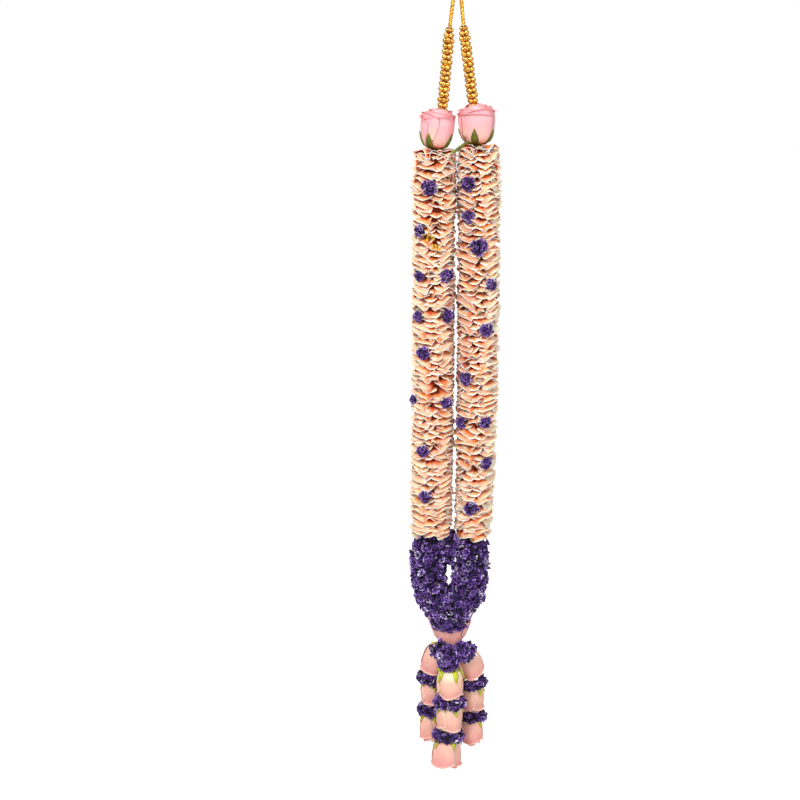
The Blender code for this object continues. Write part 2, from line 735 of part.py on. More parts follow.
def make_tassel_strings(group):
    """The knot, its stub up into the loop and the three threads, in one body."""
    name = "tassel_strings"
    knot = Vector(KNOT)
    pieces = [knot_ball(name + "_knot", KNOT_RADIUS, group)]
    stub = [knot, knot + Vector((0.0, 0.0, KNOT_STUB - 2 * GAP))]
    pieces.append(tube_as_mesh(name + "_stub", stub, THREAD_RADIUS, group))
    for index, route in enumerate(tassel_routes()):
        pieces.append(tube_as_mesh(f"{name}_{index}", route, THREAD_RADIUS, group))
    fuse(name, pieces, group, "thread")


def make_collar_tuft(place_name, group, cutters):
    """A statice tuft tied at the knot, bumpy with florets, on a short stem."""
    name = "collar_tuft_" + place_name
    centre, radii = COLLAR_TUFTS[place_name]
    chance = random.Random(name)
    shape = bmesh.new()
    bmesh.ops.create_icosphere(shape, subdivisions=2, radius=1.0)
    for point in shape.verts:
        bump = 1 + (0.10 if len(point.link_edges) == 5 else -0.06) + chance.uniform(-0.04, 0.04)
        point.co = Vector(centre) + Vector([r * bump * c for r, c in zip(radii, point.co)])
    mesh = bpy.data.meshes.new(name)
    shape.to_mesh(mesh)
    shape.free()
    head = add_object(name + "_head", mesh, group, None)
    stem = tube_as_mesh(name + "_stem", [Vector(centre), Vector(KNOT)],
                        TUFT_STEM_RADIUS, group)
    joined = fuse(name + "_joined", [head, stem], group, None)
    tools = [knot_ball(name + "_room", KNOT_RADIUS + 2.5 * GAP, cutters)]
    for index, route in enumerate(tassel_routes()):
        tools.append(tube_as_mesh(f"{name}_way_{index}", route[:2], BORE_RADIUS, cutters))
    fuse(name, [joined], group, "statice", "DIFFERENCE", tools)


def ring_mesh(name, centre, axis):
    """A ring of statice florets that lies on the shoulder of the rose under it."""
    frame = frame_at(centre, axis)
    columns = 2 * RING_FLORETS_ROUND
    chance = random.Random(name)
    shake = [[chance.uniform(-0.5, 0.5) for _ in range(columns)] for _ in RING_SECTION]

    def place(column, row):
        radius, height = RING_SECTION[row]
        if 0 < row < 5:
            radius += RING_FLORET * ((1 if (column + row) % 2 else -1) + shake[row][column])
        turn = math.tau * column / columns
        return frame @ Vector((radius * math.cos(turn), radius * math.sin(turn), height))

    return bent_grid(name, columns, len(RING_SECTION), place, ring=True)


def make_tassel(group):
    """Three strands of roses that open downwards, with statice rings between them."""
    for strand, roses in TASSEL.items():
        for index, (base, mouth, radius, flare) in enumerate(roses, start=1):
            name = f"tassel_{strand}_rose_{index}"
            base, mouth = Vector(base), Vector(mouth)
            pit = (TASSEL_ROSE_PIT[0] * radius, TASSEL_ROSE_PIT[1])
            mesh = rose_mesh(name + "_petals", base, mouth, radius, TASSEL_ROSE_OUTSIDE,
                             TASSEL_ROSE_HEART, pit, flare)
            add_object(name + "_petals", mesh, group, "blush_rose")
            mesh = calyx_mesh(name + "_calyx", base, mouth, radius)
            add_object(name + "_calyx", mesh, group, "sepal_green")
            if index > 1:
                ring = f"tassel_{strand}_ring_{index - 1}"
                above = Vector(roses[index - 2][1]) - Vector(roses[index - 2][0])
                axis = ((mouth - base).normalized() + above.normalized()).normalized()
                seat = base + axis * RING_DROPS[strand][index - 2]
                add_object(ring, ring_mesh(ring, seat, axis), group, "statice")


def main():
    """Build the garland's pieces from the hook down."""
    clear_scene()
    garland = make_collection("garland")
    cutters = make_collection("cutters")
    make_neck_cord(garland)
    make_neck_whipping(garland)
    for side in ("left", "right"):
        make_bead_rope(side, garland)
        make_top_rose(side, garland)
        make_petal_strand(side, garland, cutters)
        make_sprig_string(side, garland)
    make_statice_loop(garland, cutters)
    make_tie_band(garland, cutters)
    make_tassel_strings(garland)
    for place_name in COLLAR_TUFTS:
        make_collar_tuft(place_name, garland, cutters)
    make_tassel(garland)


main()
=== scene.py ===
"""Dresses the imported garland: gold cord and beads, roses, folded petals, statice and the rose tassel."""

import sys
import itertools  # noqa: E402
import logging  # noqa: E402
import math  # noqa: E402
import random  # noqa: E402
from collections.abc import Callable, Sequence  # noqa: E402
from dataclasses import dataclass  # noqa: E402
from enum import Enum  # noqa: E402

import bpy  # noqa: E402
from bpy.types import ID, Curve, Material, Mesh, MeshPolygon, Node, NodeSocket, NodeTree, Object  # noqa
from mathutils import Matrix, Vector  # noqa: E402


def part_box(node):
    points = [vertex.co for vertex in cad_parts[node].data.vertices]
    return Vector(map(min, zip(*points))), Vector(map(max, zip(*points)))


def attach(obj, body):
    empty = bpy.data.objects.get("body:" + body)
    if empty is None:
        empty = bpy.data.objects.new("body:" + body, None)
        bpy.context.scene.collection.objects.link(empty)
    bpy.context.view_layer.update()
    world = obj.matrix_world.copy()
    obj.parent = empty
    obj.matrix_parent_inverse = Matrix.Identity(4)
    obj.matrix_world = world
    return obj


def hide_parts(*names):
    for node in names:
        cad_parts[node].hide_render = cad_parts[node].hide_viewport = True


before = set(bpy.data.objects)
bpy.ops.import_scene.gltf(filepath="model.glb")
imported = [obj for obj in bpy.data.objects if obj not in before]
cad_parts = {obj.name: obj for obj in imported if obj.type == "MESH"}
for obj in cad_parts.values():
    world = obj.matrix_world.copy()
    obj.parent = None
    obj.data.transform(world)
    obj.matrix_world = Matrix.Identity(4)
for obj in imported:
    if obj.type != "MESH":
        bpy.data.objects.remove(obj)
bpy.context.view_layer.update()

LOG = logging.getLogger("garland")
BODY = "root"
Place = tuple[float, float, float]
Colour = tuple[float, float, float, float]
# From a share across, -1 to 1, and a share along, 0 to 1, to a place.
Surface = Callable[[float, float], Vector]
UP = Vector((0.0, 0.0, 1.0))
FRONT = Vector((0.0, -1.0, 0.0))
RIGHT = Vector((1.0, 0.0, 0.0))
PETAL_WALL = 0.0006  # Metres, for every petal, sepal and leaf but those of the strands.


class Slot(Enum):
    """The record's material slots, one named with each new piece."""

    GOLD_CORD = "gold_cord"
    GOLD_BEAD = "gold_bead"
    PINK_PETAL = "pink_petal"
    PEACH_PETAL = "peach_petal"
    BLUSH_PETAL = "blush_petal"
    GREEN_SEPAL = "green_sepal"
    STATICE = "statice"


class Side(Enum):
    """The garland's two sides, as the camera sees them, with the sign of X on each."""

    LEFT = -1
    RIGHT = 1


# Small helpers for adding, selecting, copying and joining


def deselect_all() -> None:
    for item in list(bpy.context.selected_objects):
        item.select_set(False)


def add_primitive(operator: Callable[..., set[str]], **settings: object) -> Object:
    """Add one of Blender's primitives with nothing else selected.

    Args:
        operator: The operator that adds it.
        **settings: The operator's own settings.

    Returns:
        The new object, which is active and selected.
    """
    deselect_all()
    operator(**settings)
    return bpy.context.view_layer.objects.active


def put_in_scene(name: str, data: ID) -> Object:
    """Make an object of some data and link it to the scene.

    Args:
        name: The object's name.
        data: Its curve, mesh, camera or light.

    Returns:
        The object.
    """
    item = bpy.data.objects.new(name, data)
    bpy.context.scene.collection.objects.link(item)
    return item


def make_active(item: Object) -> None:
    """Select one object alone and make it the active one.

    Args:
        item: The object that the next operators act on.
    """
    deselect_all()
    item.select_set(True)
    bpy.context.view_layer.objects.active = item


def select_faces(item: Object, wanted: Callable[[MeshPolygon], bool]) -> None:
    """Go into edit mode with some faces of an object selected.

    Args:
        item: The object.
        wanted: Says whether a face is selected.
    """
    make_active(item)
    bpy.ops.object.mode_set(mode="EDIT")
    bpy.ops.mesh.select_mode(type="FACE")
    bpy.ops.mesh.select_all(action="DESELECT")
    bpy.ops.object.mode_set(mode="OBJECT")
    for polygon in item.data.polygons:
        polygon.select = wanted(polygon)
    bpy.ops.object.mode_set(mode="EDIT")


def turn_faces_out(item: Object) -> None:
    """Work out the normals of a closed shape again.

    Args:
        item: The object, all of whose faces then look outwards.
    """
    make_active(item)
    bpy.ops.object.mode_set(mode="EDIT")
    bpy.ops.mesh.select_all(action="SELECT")
    bpy.ops.mesh.normals_make_consistent(inside=False)
    bpy.ops.object.mode_set(mode="OBJECT")


def dress(item: Object, material: Material) -> None:
    """Give an object one material in place of what it had."""
    item.data.materials.clear()
    item.data.materials.append(material)


def apply_modifier(item: Object, kind: str, **settings: object) -> None:
    """Add a modifier and apply it at once.

    Args:
        item: The object to change.
        kind: Blender's name of the modifier type.
        **settings: The modifier's own settings.
    """
    make_active(item)
    modifier = item.modifiers.new(kind.title(), kind)
    for name, value in settings.items():
        setattr(modifier, name, value)
    bpy.ops.object.modifier_apply(modifier=modifier.name)


def set_mark(mesh: Mesh, name: str, values: Sequence[float]) -> None:
    """Write one number on each vertex of a mesh, under a name that a material reads."""
    mark = mesh.attributes.get(name) or mesh.attributes.new(name, "FLOAT", "POINT")
    mark.data.foreach_set("value", list(values))


def set_same_mark(mesh: Mesh, name: str, value: float) -> None:
    """Write the same number on every vertex of a mesh."""
    set_mark(mesh, name, [value] * len(mesh.vertices))


def shade_by_slope(mesh: Mesh, amount: float) -> None:
    """Paint light and shade into the tone: raise it on faces that look up, as if lit from above, and lower
    it on those that look down.

    Args:
        mesh: A mesh with the mark tone.
        amount: How much the tone changes where a face looks straight up.
    """
    count = len(mesh.vertices)
    normals, tones = [0.0] * (3 * count), [0.0] * count
    mesh.vertex_normals.foreach_get("vector", normals)
    mesh.attributes["tone"].data.foreach_get("value", tones)
    set_mark(mesh, "tone", [tone + amount * normals[3 * index + 2] for index, tone in enumerate(tones)])


def stamp(master: Object, place: Matrix, marks: dict[str, float]) -> Object:
    """Copy a master with a mesh of its own and put the place in that mesh.

    Args:
        master: The shape that is repeated.
        place: Where the copy goes, from the master's own frame.
        marks: Numbers written on all of the copy's vertices.

    Returns:
        The copy, which still has to be joined with the others.
    """
    twin = master.copy()
    twin.data = master.data.copy()
    twin.data.transform(place)
    for name, value in marks.items():
        set_same_mark(twin.data, name, value)
    bpy.context.scene.collection.objects.link(twin)
    return twin


def join(name: str, parts: Sequence[Object]) -> Object:
    """Join several objects into one that sits at the origin.

    Args:
        name: The joined object's name.
        parts: The objects, all unmoved, unturned and unscaled.

    Returns:
        The joined object.
    """
    deselect_all()
    for part in parts:
        part.select_set(True)
    bpy.context.view_layer.objects.active = parts[0]
    if len(parts) > 1:
        bpy.ops.object.join()
    whole = bpy.context.view_layer.objects.active
    whole.name = name
    whole.data.name = name
    return whole


def discard(items: Sequence[Object]) -> None:
    """Remove masters that were only there to be copied."""
    for item in items:
        mesh = item.data
        bpy.data.objects.remove(item)
        bpy.data.meshes.remove(mesh)


def settle(piece: Object, slot: Slot, *nodes: str, material: Material | None = None) -> Object:
    """Let a finished piece ride on the garland and stand for its CAD nodes.

    Args:
        piece: The finished piece, at the origin.
        slot: The record's slot that its finish comes from; not used.
        *nodes: The CAD nodes that it stands for.
        material: Its material, if it has none yet.

    Returns:
        The same piece.
    """
    if material is not None:
        dress(piece, material)
    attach(piece, BODY)
    if nodes:
        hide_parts(*nodes)
    LOG.info("%s: %d faces", piece.name, len(piece.data.polygons))
    return piece


def frame_at(origin: Vector, forward: Vector, up_hint: Vector) -> Matrix:
    """Make the matrix that puts a master's +Y along forward and its +Z near up_hint.

    Args:
        origin: Where the master's origin goes.
        forward: Where its +Y points.
        up_hint: Roughly where its +Z points.

    Returns:
        The 4 by 4 matrix, without any scale.
    """
    y_axis = forward.normalized()
    z_axis = (up_hint - y_axis * up_hint.dot(y_axis)).normalized()
    x_axis = y_axis.cross(z_axis)
    turn = Matrix((x_axis, y_axis, z_axis)).transposed()
    return Matrix.Translation(origin) @ turn.to_4x4()


def stand_at(origin: Vector, up: Vector, spin: float) -> Matrix:
    """Make the matrix that puts a master's +Z along up, turned about it by spin radians."""
    turn = up.normalized().to_track_quat("Z", "Y").to_matrix().to_4x4()
    return Matrix.Translation(origin) @ turn @ Matrix.Rotation(spin, 4, "Z")


def spinning(axis: str, degrees: float) -> Matrix:
    """Make the matrix of a turn about X, Y or Z."""
    return Matrix.Rotation(math.radians(degrees), 4, axis)


def outward(angle: float) -> Vector:
    """Give the level direction that lies at an angle in radians from the front towards +X."""
    return Vector((math.sin(angle), -math.cos(angle), 0.0))


def upright(point: tuple[float, float]) -> Vector:
    """Give the place of a point that is drawn on the plane of X and Z."""
    return Vector((point[0], 0.0, point[1]))


def any_turn(dice: random.Random) -> float:
    """Draw a turn of any size, in radians."""
    return dice.uniform(0.0, 6.28)


def scatter(dice: random.Random, x: float, y: float, z: float) -> Vector:
    """Draw a step that reaches up to x, y and z either way."""
    return Vector((dice.uniform(-x, x), dice.uniform(-y, y), dice.uniform(-z, z)))


def stretch_at(stops: Sequence[float], place: float) -> tuple[int, float]:
    """Find between which two stops of a row, rising or falling, a place lies.

    Args:
        stops: The row's stops.
        place: The place that is looked for.

    Returns:
        The number of the stop before it, and its share of the way to the next one, from 0 to 1.
    """
    for index, (one, two) in enumerate(zip(stops, stops[1:])):
        share = (place - one) / (two - one)
        if share <= 1.0:
            return index, max(0.0, share)
    return len(stops) - 2, 1.0


def smooth_along(points: Sequence[Vector], steps: int) -> list[Vector]:
    """Read points from a smooth curve that passes through the given ones.

    Args:
        points: The curve's own points.
        steps: The number of stretches that come back.

    Returns:
        The points read, one more than steps.
    """
    last = len(points) - 1
    read = []
    for index in range(steps + 1):
        place = index / steps * last
        start = min(int(place), last - 1)
        share = place - start
        before, here = points[max(start - 1, 0)], points[start]
        there, after = points[start + 1], points[min(start + 2, last)]
        read.append(
            0.5
            * (
                2.0 * here
                + (there - before) * share
                + (2.0 * before - 5.0 * here + 4.0 * there - after) * share**2
                + (3.0 * here - before - 3.0 * there + after) * share**3
            )
        )
    return read


def shaped_sheet(
    name: str,
    columns: int,
    rows: int,
    surface: Surface,
    rim_width: float,
    tone_depth: float = 0.0,
) -> Object:
    """Model a thin sheet from a grid primitive, each of whose vertices goes to its place on a surface.

    Args:
        name: The sheet's name.
        columns: The number of faces across it.
        rows: The number of faces along it, closer together near the tip.
        surface: Gives a place for a share across, from -1 to 1, and a share along, from 0 to 1.
        rim_width: How far the pale rim's mark reaches in from the edge, in metres.
        tone_depth: How far from the edge the deepest tone lies, or 0 if the tone follows the length.

    Returns:
        The sheet, one face thick, with the marks across, tone and rim on its vertices.
    """
    grid = bpy.ops.mesh.primitive_grid_add
    sheet = add_primitive(grid, x_subdivisions=columns, y_subdivisions=rows, size=2.0)
    sheet.name = name
    across = [vertex.co.x for vertex in sheet.data.vertices]
    along = [1.0 - max(0.0, 0.5 - vertex.co.y / 2.0) ** 1.5 for vertex in sheet.data.vertices]
    tip = [surface(share, 1.0) for share in across]
    left = [surface(-1.0, share) for share in along]
    right = [surface(1.0, share) for share in along]
    rims, tones = [], []
    for index, vertex in enumerate(sheet.data.vertices):
        vertex.co = surface(across[index], along[index])
        from_tip = min((vertex.co - place).length for place in tip)
        nearest = min(from_tip, (vertex.co - left[index]).length, (vertex.co - right[index]).length)
        off_root = min(1.0, max(0.0, (along[index] - 0.35) / 0.35))
        rims.append(max(0.0, 1.0 - nearest / rim_width) * (off_root if tone_depth else 1.0))
        # Where tone_depth is set, the tone falls off with the distance from the tip, so the finish paints
        # shade deeper in.
        tones.append(max(0.0, 1.0 - from_tip / tone_depth) if tone_depth else along[index])
    set_mark(sheet.data, "across", across)
    set_mark(sheet.data, "tone", tones)
    set_mark(sheet.data, "rim", rims)
    for mark in ("blush", "pale", "tan"):
        set_same_mark(sheet.data, mark, 0.0)
    return sheet


def thicken(sheet: Object, material: Material, thickness: float = PETAL_WALL) -> Object:
    """Give a sheet a wall, smooth shading and its material.

    Args:
        sheet: The thin sheet.
        material: The finish of the sheet.
        thickness: The wall's thickness in metres.

    Returns:
        The same object.
    """
    apply_modifier(sheet, "SOLIDIFY", thickness=thickness, offset=0.0)
    make_active(sheet)
    bpy.ops.object.shade_smooth()
    dress(sheet, material)
    return sheet


def drawn_curve(name: str, points: Sequence[Vector]) -> Curve:
    """Draw a curve of straight stretches, with caps on its ends once it has a thickness.

    Args:
        name: The curve's name.
        points: The points that it goes through.

    Returns:
        The curve.
    """
    curve = bpy.data.curves.new(name, "CURVE")
    curve.dimensions = "3D"
    curve.use_fill_caps = True
    line = curve.splines.new("POLY")
    line.points.add(len(points) - 1)
    for spot, point in zip(line.points, points, strict=True):
        spot.co = (*point, 1.0)
    return curve


def curve_to_mesh(name: str, curve: Curve) -> Object:
    """Put a curve in the scene and convert it to a mesh.

    Args:
        name: The object's name.
        curve: The curve.

    Returns:
        The mesh object, which is active.
    """
    make_active(put_in_scene(name, curve))
    bpy.ops.object.convert(target="MESH")
    return bpy.context.view_layer.objects.active


def wound_tube(name: str, points: Sequence[Vector], radius: float, sides: int = 2) -> Object:
    """Model a round tube along points, as a bevelled curve that becomes a mesh.

    Args:
        name: The tube's name.
        points: The points that it follows.
        radius: The tube's radius in metres.
        sides: The bevel's resolution.

    Returns:
        The tube as a mesh object.
    """
    curve = drawn_curve(name, points)
    curve.bevel_depth = radius
    curve.bevel_resolution = sides
    tube = curve_to_mesh(name, curve)
    bpy.ops.object.shade_smooth()
    return tube


def cad_copy(node: str, name: str, shrink: float) -> Object:
    """Copy a CAD node's mesh, merge its loose triangles and draw it in by a distance.

    Args:
        node: The CAD node's name.
        name: The copy's name.
        shrink: How far its surface moves inwards, in metres.

    Returns:
        The copy, which rides on nothing yet.
    """
    twin = put_in_scene(name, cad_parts[node].data.copy())
    make_active(twin)
    bpy.ops.object.mode_set(mode="EDIT")
    bpy.ops.mesh.select_all(action="SELECT")
    bpy.ops.mesh.remove_doubles(threshold=0.00002)
    bpy.ops.transform.shrink_fatten(value=-shrink)
    bpy.ops.object.mode_set(mode="OBJECT")
    twin.data.materials.clear()
    return twin


def spots_on(
    mesh: Mesh, spacing: float, dice: random.Random, keep: Callable[[Vector, Vector], bool]
) -> list[tuple[Vector, Vector]]:
    """Spread spots evenly over a mesh, no two nearer than a spacing.

    Args:
        mesh: The mesh, in the garland's frame.
        spacing: The least distance between two spots.
        dice: The seeded source of chance.
        keep: Says whether a spot at a place with a normal is wanted.

    Returns:
        The place and the outward normal of each spot.
    """
    mesh.calc_loop_triangles()
    corners = [vertex.co.copy() for vertex in mesh.vertices]
    triangles, areas = [], []
    for triangle in mesh.loop_triangles:
        triangles.append((tuple(corners[i] for i in triangle.vertices), triangle.normal.copy()))
        areas.append(triangle.area)
    wanted = int(sum(areas) / spacing**2 * 5.0) + 20
    cells: dict[tuple[int, ...], list[Vector]] = {}
    around = list(itertools.product((-1, 0, 1), repeat=3))
    found = []
    for (first, second, third), normal in dice.choices(triangles, areas, k=wanted):
        one, two = sorted((dice.random(), dice.random()))
        spot = first * one + second * (two - one) + third * (1.0 - two)
        if not keep(spot, normal):
            continue
        cell = tuple(math.floor(value / spacing) for value in spot)
        near = (
            other
            for step in around
            for other in cells.get(tuple(a + b for a, b in zip(cell, step, strict=True)), ())
        )
        if any((spot - other).length < spacing for other in near):
            continue
        cells.setdefault(cell, []).append(spot)
        found.append((spot, normal))
    return found


# Finishes


def tint(red: int, green: int, blue: int) -> Colour:
    """Turn a screen colour of 0 to 255 into Blender's linear one.

    Args:
        red: The red part.
        green: The green part.
        blue: The blue part.

    Returns:
        The linear colour with full alpha.
    """
    parts = []
    for value in (red, green, blue):
        share = value / 255.0
        parts.append(share / 12.92 if share <= 0.04045 else ((share + 0.055) / 1.055) ** 2.4)
    return (*parts, 1.0)


class Wiring:
    """Adds nodes to one node tree and links them."""

    def __init__(self, tree: NodeTree) -> None:
        """Keep the tree that is being wired."""
        self.tree = tree

    def add(self, kind: str, values: dict | None = None, **settings: object) -> Node:
        """Add a node, with its settings and the values or links of its inputs.

        Args:
            kind: Blender's name of the node type.
            values: Input name or index to a number, a colour or a socket.
            **settings: The node's own settings.

        Returns:
            The new node.
        """
        node = self.tree.nodes.new(kind)
        for name, value in settings.items():
            setattr(node, name, value)
        for key, value in (values or {}).items():
            if isinstance(value, NodeSocket):
                self.tree.links.new(value, node.inputs[key])
            else:
                node.inputs[key].default_value = value
        return node

    def mark(self, name: str) -> NodeSocket:
        """Read a number that is written on the vertices."""
        return self.add("ShaderNodeAttribute", attribute_name=name).outputs["Fac"]

    def maths(self, operation: str, first: object, second: object = 0.0) -> NodeSocket:
        """Work out one number from two, each a value or a socket."""
        return self.add("ShaderNodeMath", {0: first, 1: second}, operation=operation).outputs[0]

    def step(self, value: object, low: object, high: object) -> NodeSocket:
        """Rise smoothly from 0 to 1 while a value goes from low to high."""
        node = self.add("ShaderNodeMapRange", {0: value, 1: low, 2: high}, interpolation_type="SMOOTHSTEP")
        return node.outputs[0]

    def mix(self, share: object, first: object, second: object) -> NodeSocket:
        """Mix two colours or sockets, with share of the second one."""
        values = {0: share, 6: first, 7: second}
        return self.add("ShaderNodeMix", values, data_type="RGBA").outputs[2]

    def spread(self, value: object, source: tuple[float, float], target: tuple[float, float]) -> NodeSocket:
        """Carry a value from one range over to another, and hold it at the ends."""
        values = {0: value, 1: source[0], 2: source[1], 3: target[0], 4: target[1]}
        return self.add("ShaderNodeMapRange", values).outputs[0]

    def place(self) -> NodeSocket:
        """Read the place in the piece's own frame."""
        return self.add("ShaderNodeTexCoord").outputs["Object"]

    def link(self, source: NodeSocket, node: Node, label: str) -> None:
        """Link a socket to a named input of a node."""
        self.tree.links.new(source, node.inputs[label])

    def noise(self, place: object, scale: object, detail: float = 2.0) -> NodeSocket:
        """Make a cloudy value from 0 to 1, with scale clouds in a metre."""
        values = {"Vector": place, "Scale": scale, "Detail": detail}
        return self.add("ShaderNodeTexNoise", values).outputs["Fac"]


def start_group(
    name: str, takes: Sequence[tuple[str, str]], gives: Sequence[tuple[str, str]]
) -> tuple[Wiring, Node, Node]:
    """Start a shader node group with named sockets.

    Args:
        name: The group's name.
        takes: The name and kind of each input.
        gives: The name and kind of each output.

    Returns:
        The wiring of its tree, its input node and its output node.
    """
    tree = bpy.data.node_groups.new(name, "ShaderNodeTree")
    for label, kind in takes:
        tree.interface.new_socket(label, in_out="INPUT", socket_type=kind)
    for label, kind in gives:
        tree.interface.new_socket(label, in_out="OUTPUT", socket_type=kind)
    wiring = Wiring(tree)
    return wiring, wiring.add("NodeGroupInput"), wiring.add("NodeGroupOutput")


def make_petal_group() -> NodeTree:
    """Build the group that every petal finish uses: its colours from root to rim, with painted shade and
    painted light where the marks call for them, and its veins.

    Returns:
        The group's tree.
    """
    colour, number = "NodeSocketColor", "NodeSocketFloat"
    takes = [(label, colour) for label in ("Deep", "Fold", "Face", "Rim", "Pale", "Tan")]
    takes += [(label, number) for label in ("Fold At", "Face At", "Rim From", "Rim Full", "Uneven")]
    wiring, given, out = start_group("petal_tones", takes, [("Colour", colour), ("Height", number)])
    cloud = wiring.noise(wiring.place(), 110.0, 3.0)
    blush = wiring.mark("blush")
    shift = wiring.maths("MULTIPLY", wiring.maths("SUBTRACT", cloud, 0.5), given.outputs["Uneven"])
    shift = wiring.maths("ADD", shift, wiring.maths("MULTIPLY", blush, 0.25))
    level = wiring.maths("ADD", wiring.mark("tone"), shift)
    to_fold = wiring.step(level, 0.0, given.outputs["Fold At"])
    to_face = wiring.step(level, given.outputs["Fold At"], given.outputs["Face At"])
    tone = wiring.mix(to_fold, given.outputs["Deep"], given.outputs["Fold"])
    tone = wiring.mix(to_face, tone, given.outputs["Face"])
    # These two colours paint light on the strands' outer sides and shade on their sides towards each other,
    # only above the fold tone.
    for label in ("Pale", "Tan"):
        share = wiring.maths("MULTIPLY", wiring.mark(label.lower()), to_fold)
        tone = wiring.mix(share, tone, given.outputs[label])
    veins_across, veins_along, veins_apart = 9.0, 1.4, 23.0
    streak_place = wiring.add(
        "ShaderNodeCombineXYZ",
        {
            0: wiring.maths("MULTIPLY", wiring.mark("across"), veins_across),
            1: wiring.maths("MULTIPLY", wiring.mark("tone"), veins_along),
            2: wiring.maths("MULTIPLY", blush, veins_apart),
        },
    ).outputs[0]
    streak = wiring.noise(streak_place, 1.6, 3.0)
    shade = wiring.spread(streak, (0.3, 0.75), (1.02, 0.96))
    hue = wiring.spread(blush, (-1.0, 1.0), (0.512, 0.488))
    tone = wiring.add("ShaderNodeHueSaturation", {"Hue": hue, "Value": shade, "Color": tone}).outputs[0]
    rim = wiring.maths("ADD", wiring.mark("rim"), wiring.spread(cloud, (0.3, 0.7), (-0.10, 0.10)))
    rim_share = wiring.step(rim, given.outputs["Rim From"], given.outputs["Rim Full"])
    wiring.link(wiring.mix(rim_share, tone, given.outputs["Rim"]), out, "Colour")
    wiring.link(streak, out, "Height")
    return wiring.tree


def make_grain_group() -> NodeTree:
    """Build the group for uneven tone and fine grain on the metal, the leaves and the threads.

    Returns:
        The group's tree.
    """
    colour, number = "NodeSocketColor", "NodeSocketFloat"
    takes = [("Dark", colour), ("Light", colour), ("Patch Scale", number), ("Grain Scale", number)]
    wiring, given, out = start_group("grain", takes, [("Colour", colour), ("Fine", number)])
    place = wiring.place()
    patches = wiring.noise(place, given.outputs["Patch Scale"], 2.0)
    fine = wiring.noise(place, given.outputs["Grain Scale"], 4.0)
    share = wiring.step(wiring.maths("ADD", patches, wiring.maths("MULTIPLY", fine, 0.3)), 0.40, 0.90)
    wiring.link(wiring.mix(share, given.outputs["Dark"], given.outputs["Light"]), out, "Colour")
    wiring.link(fine, out, "Fine")
    return wiring.tree


def start_material(name: str, roughness: float, metallic: float = 0.0) -> tuple[Material, Wiring, Node]:
    """Start a material whose Principled shader already has its plain values.

    Args:
        name: The material's name.
        roughness: The shader's roughness.
        metallic: The shader's metallic value.

    Returns:
        The material, the wiring of its tree and the shader node.
    """
    material = bpy.data.materials.new(name)
    material.use_nodes = True
    shader = material.node_tree.nodes["Principled BSDF"]
    shader.inputs["Roughness"].default_value = roughness
    shader.inputs["Metallic"].default_value = metallic
    return material, Wiring(material.node_tree), shader


def add_bump(wiring: Wiring, shader: Node, height: NodeSocket, distance: float, strength: float) -> None:
    """Let a height bend the shader's normal, by bumps of distance metres."""
    bump = wiring.add("ShaderNodeBump", {"Height": height, "Distance": distance, "Strength": strength})
    wiring.link(bump.outputs[0], shader, "Normal")


def add_group(wiring: Wiring, group: NodeTree, finish: object, sizes: Sequence[str]) -> Node:
    """Place a group in a material and give its inputs the values of a finish.

    Args:
        wiring: The material's wiring.
        group: The group's tree.
        finish: The finish that holds the values.
        sizes: The finish's fields, each named as the group's input is, in lower case.

    Returns:
        The group's node.
    """
    node = wiring.add("ShaderNodeGroup", node_tree=group)
    for size in sizes:
        node.inputs[size.replace("_", " ").title()].default_value = getattr(finish, size)
    return node


@dataclass(frozen=True)
class PetalFinish:
    """The finish of a kind of petal, from its root to its rim.

    The marks on a petal pick the tone: deep below fold_at, face above face_at, and rim past rim_from. On the
    strand petals deep and fold are painted shade, darker the farther from the tip.
    """

    name: str
    deep: Colour
    fold: Colour
    face: Colour
    rim: Colour
    pale: Colour
    tan: Colour
    fold_at: float
    face_at: float
    rim_from: float
    rim_full: float
    uneven: float = 0.3
    roughness: float = 0.5
    subsurface: float = 0.12
    subsurface_radius: Place = (1.0, 0.32, 0.14)
    subsurface_scale: float = 0.004
    vein_height: float = 0.0006

    def build(self, group: NodeTree) -> Material:
        """Make the material.

        Args:
            group: The group that gives petals their colours.

        Returns:
            The material.
        """
        material, wiring, shader = start_material(self.name, self.roughness)
        colours = ("deep", "fold", "face", "rim", "pale", "tan")
        levels = ("fold_at", "face_at", "rim_from", "rim_full", "uneven")
        tones = add_group(wiring, group, self, colours + levels)
        wiring.link(tones.outputs["Colour"], shader, "Base Color")
        shader.inputs["Subsurface Weight"].default_value = self.subsurface
        shader.inputs["Subsurface Radius"].default_value = self.subsurface_radius
        shader.inputs["Subsurface Scale"].default_value = self.subsurface_scale
        add_bump(wiring, shader, tones.outputs["Height"], self.vein_height, 0.2)
        return material


@dataclass(frozen=True)
class GrainFinish:
    """A finish of two tones with a fine grain, for metal, leaf or thread."""

    name: str
    dark: Colour
    light: Colour
    patch_scale: float
    grain_scale: float
    roughness: float
    metallic: float = 0.0
    grain_height: float = 0.0002

    def build(self, group: NodeTree) -> Material:
        """Make the material.

        Args:
            group: The group that gives the tones and the grain.

        Returns:
            The material.
        """
        material, wiring, shader = start_material(self.name, self.roughness, self.metallic)
        grain = add_group(wiring, group, self, ("dark", "light", "patch_scale", "grain_scale"))
        wiring.link(grain.outputs["Colour"], shader, "Base Color")
        dull = (self.roughness * 0.8, self.roughness * 1.25)
        wiring.link(wiring.spread(grain.outputs["Fine"], (0.3, 0.7), dull), shader, "Roughness")
        add_bump(wiring, shader, grain.outputs["Fine"], self.grain_height, 0.6)
        return material


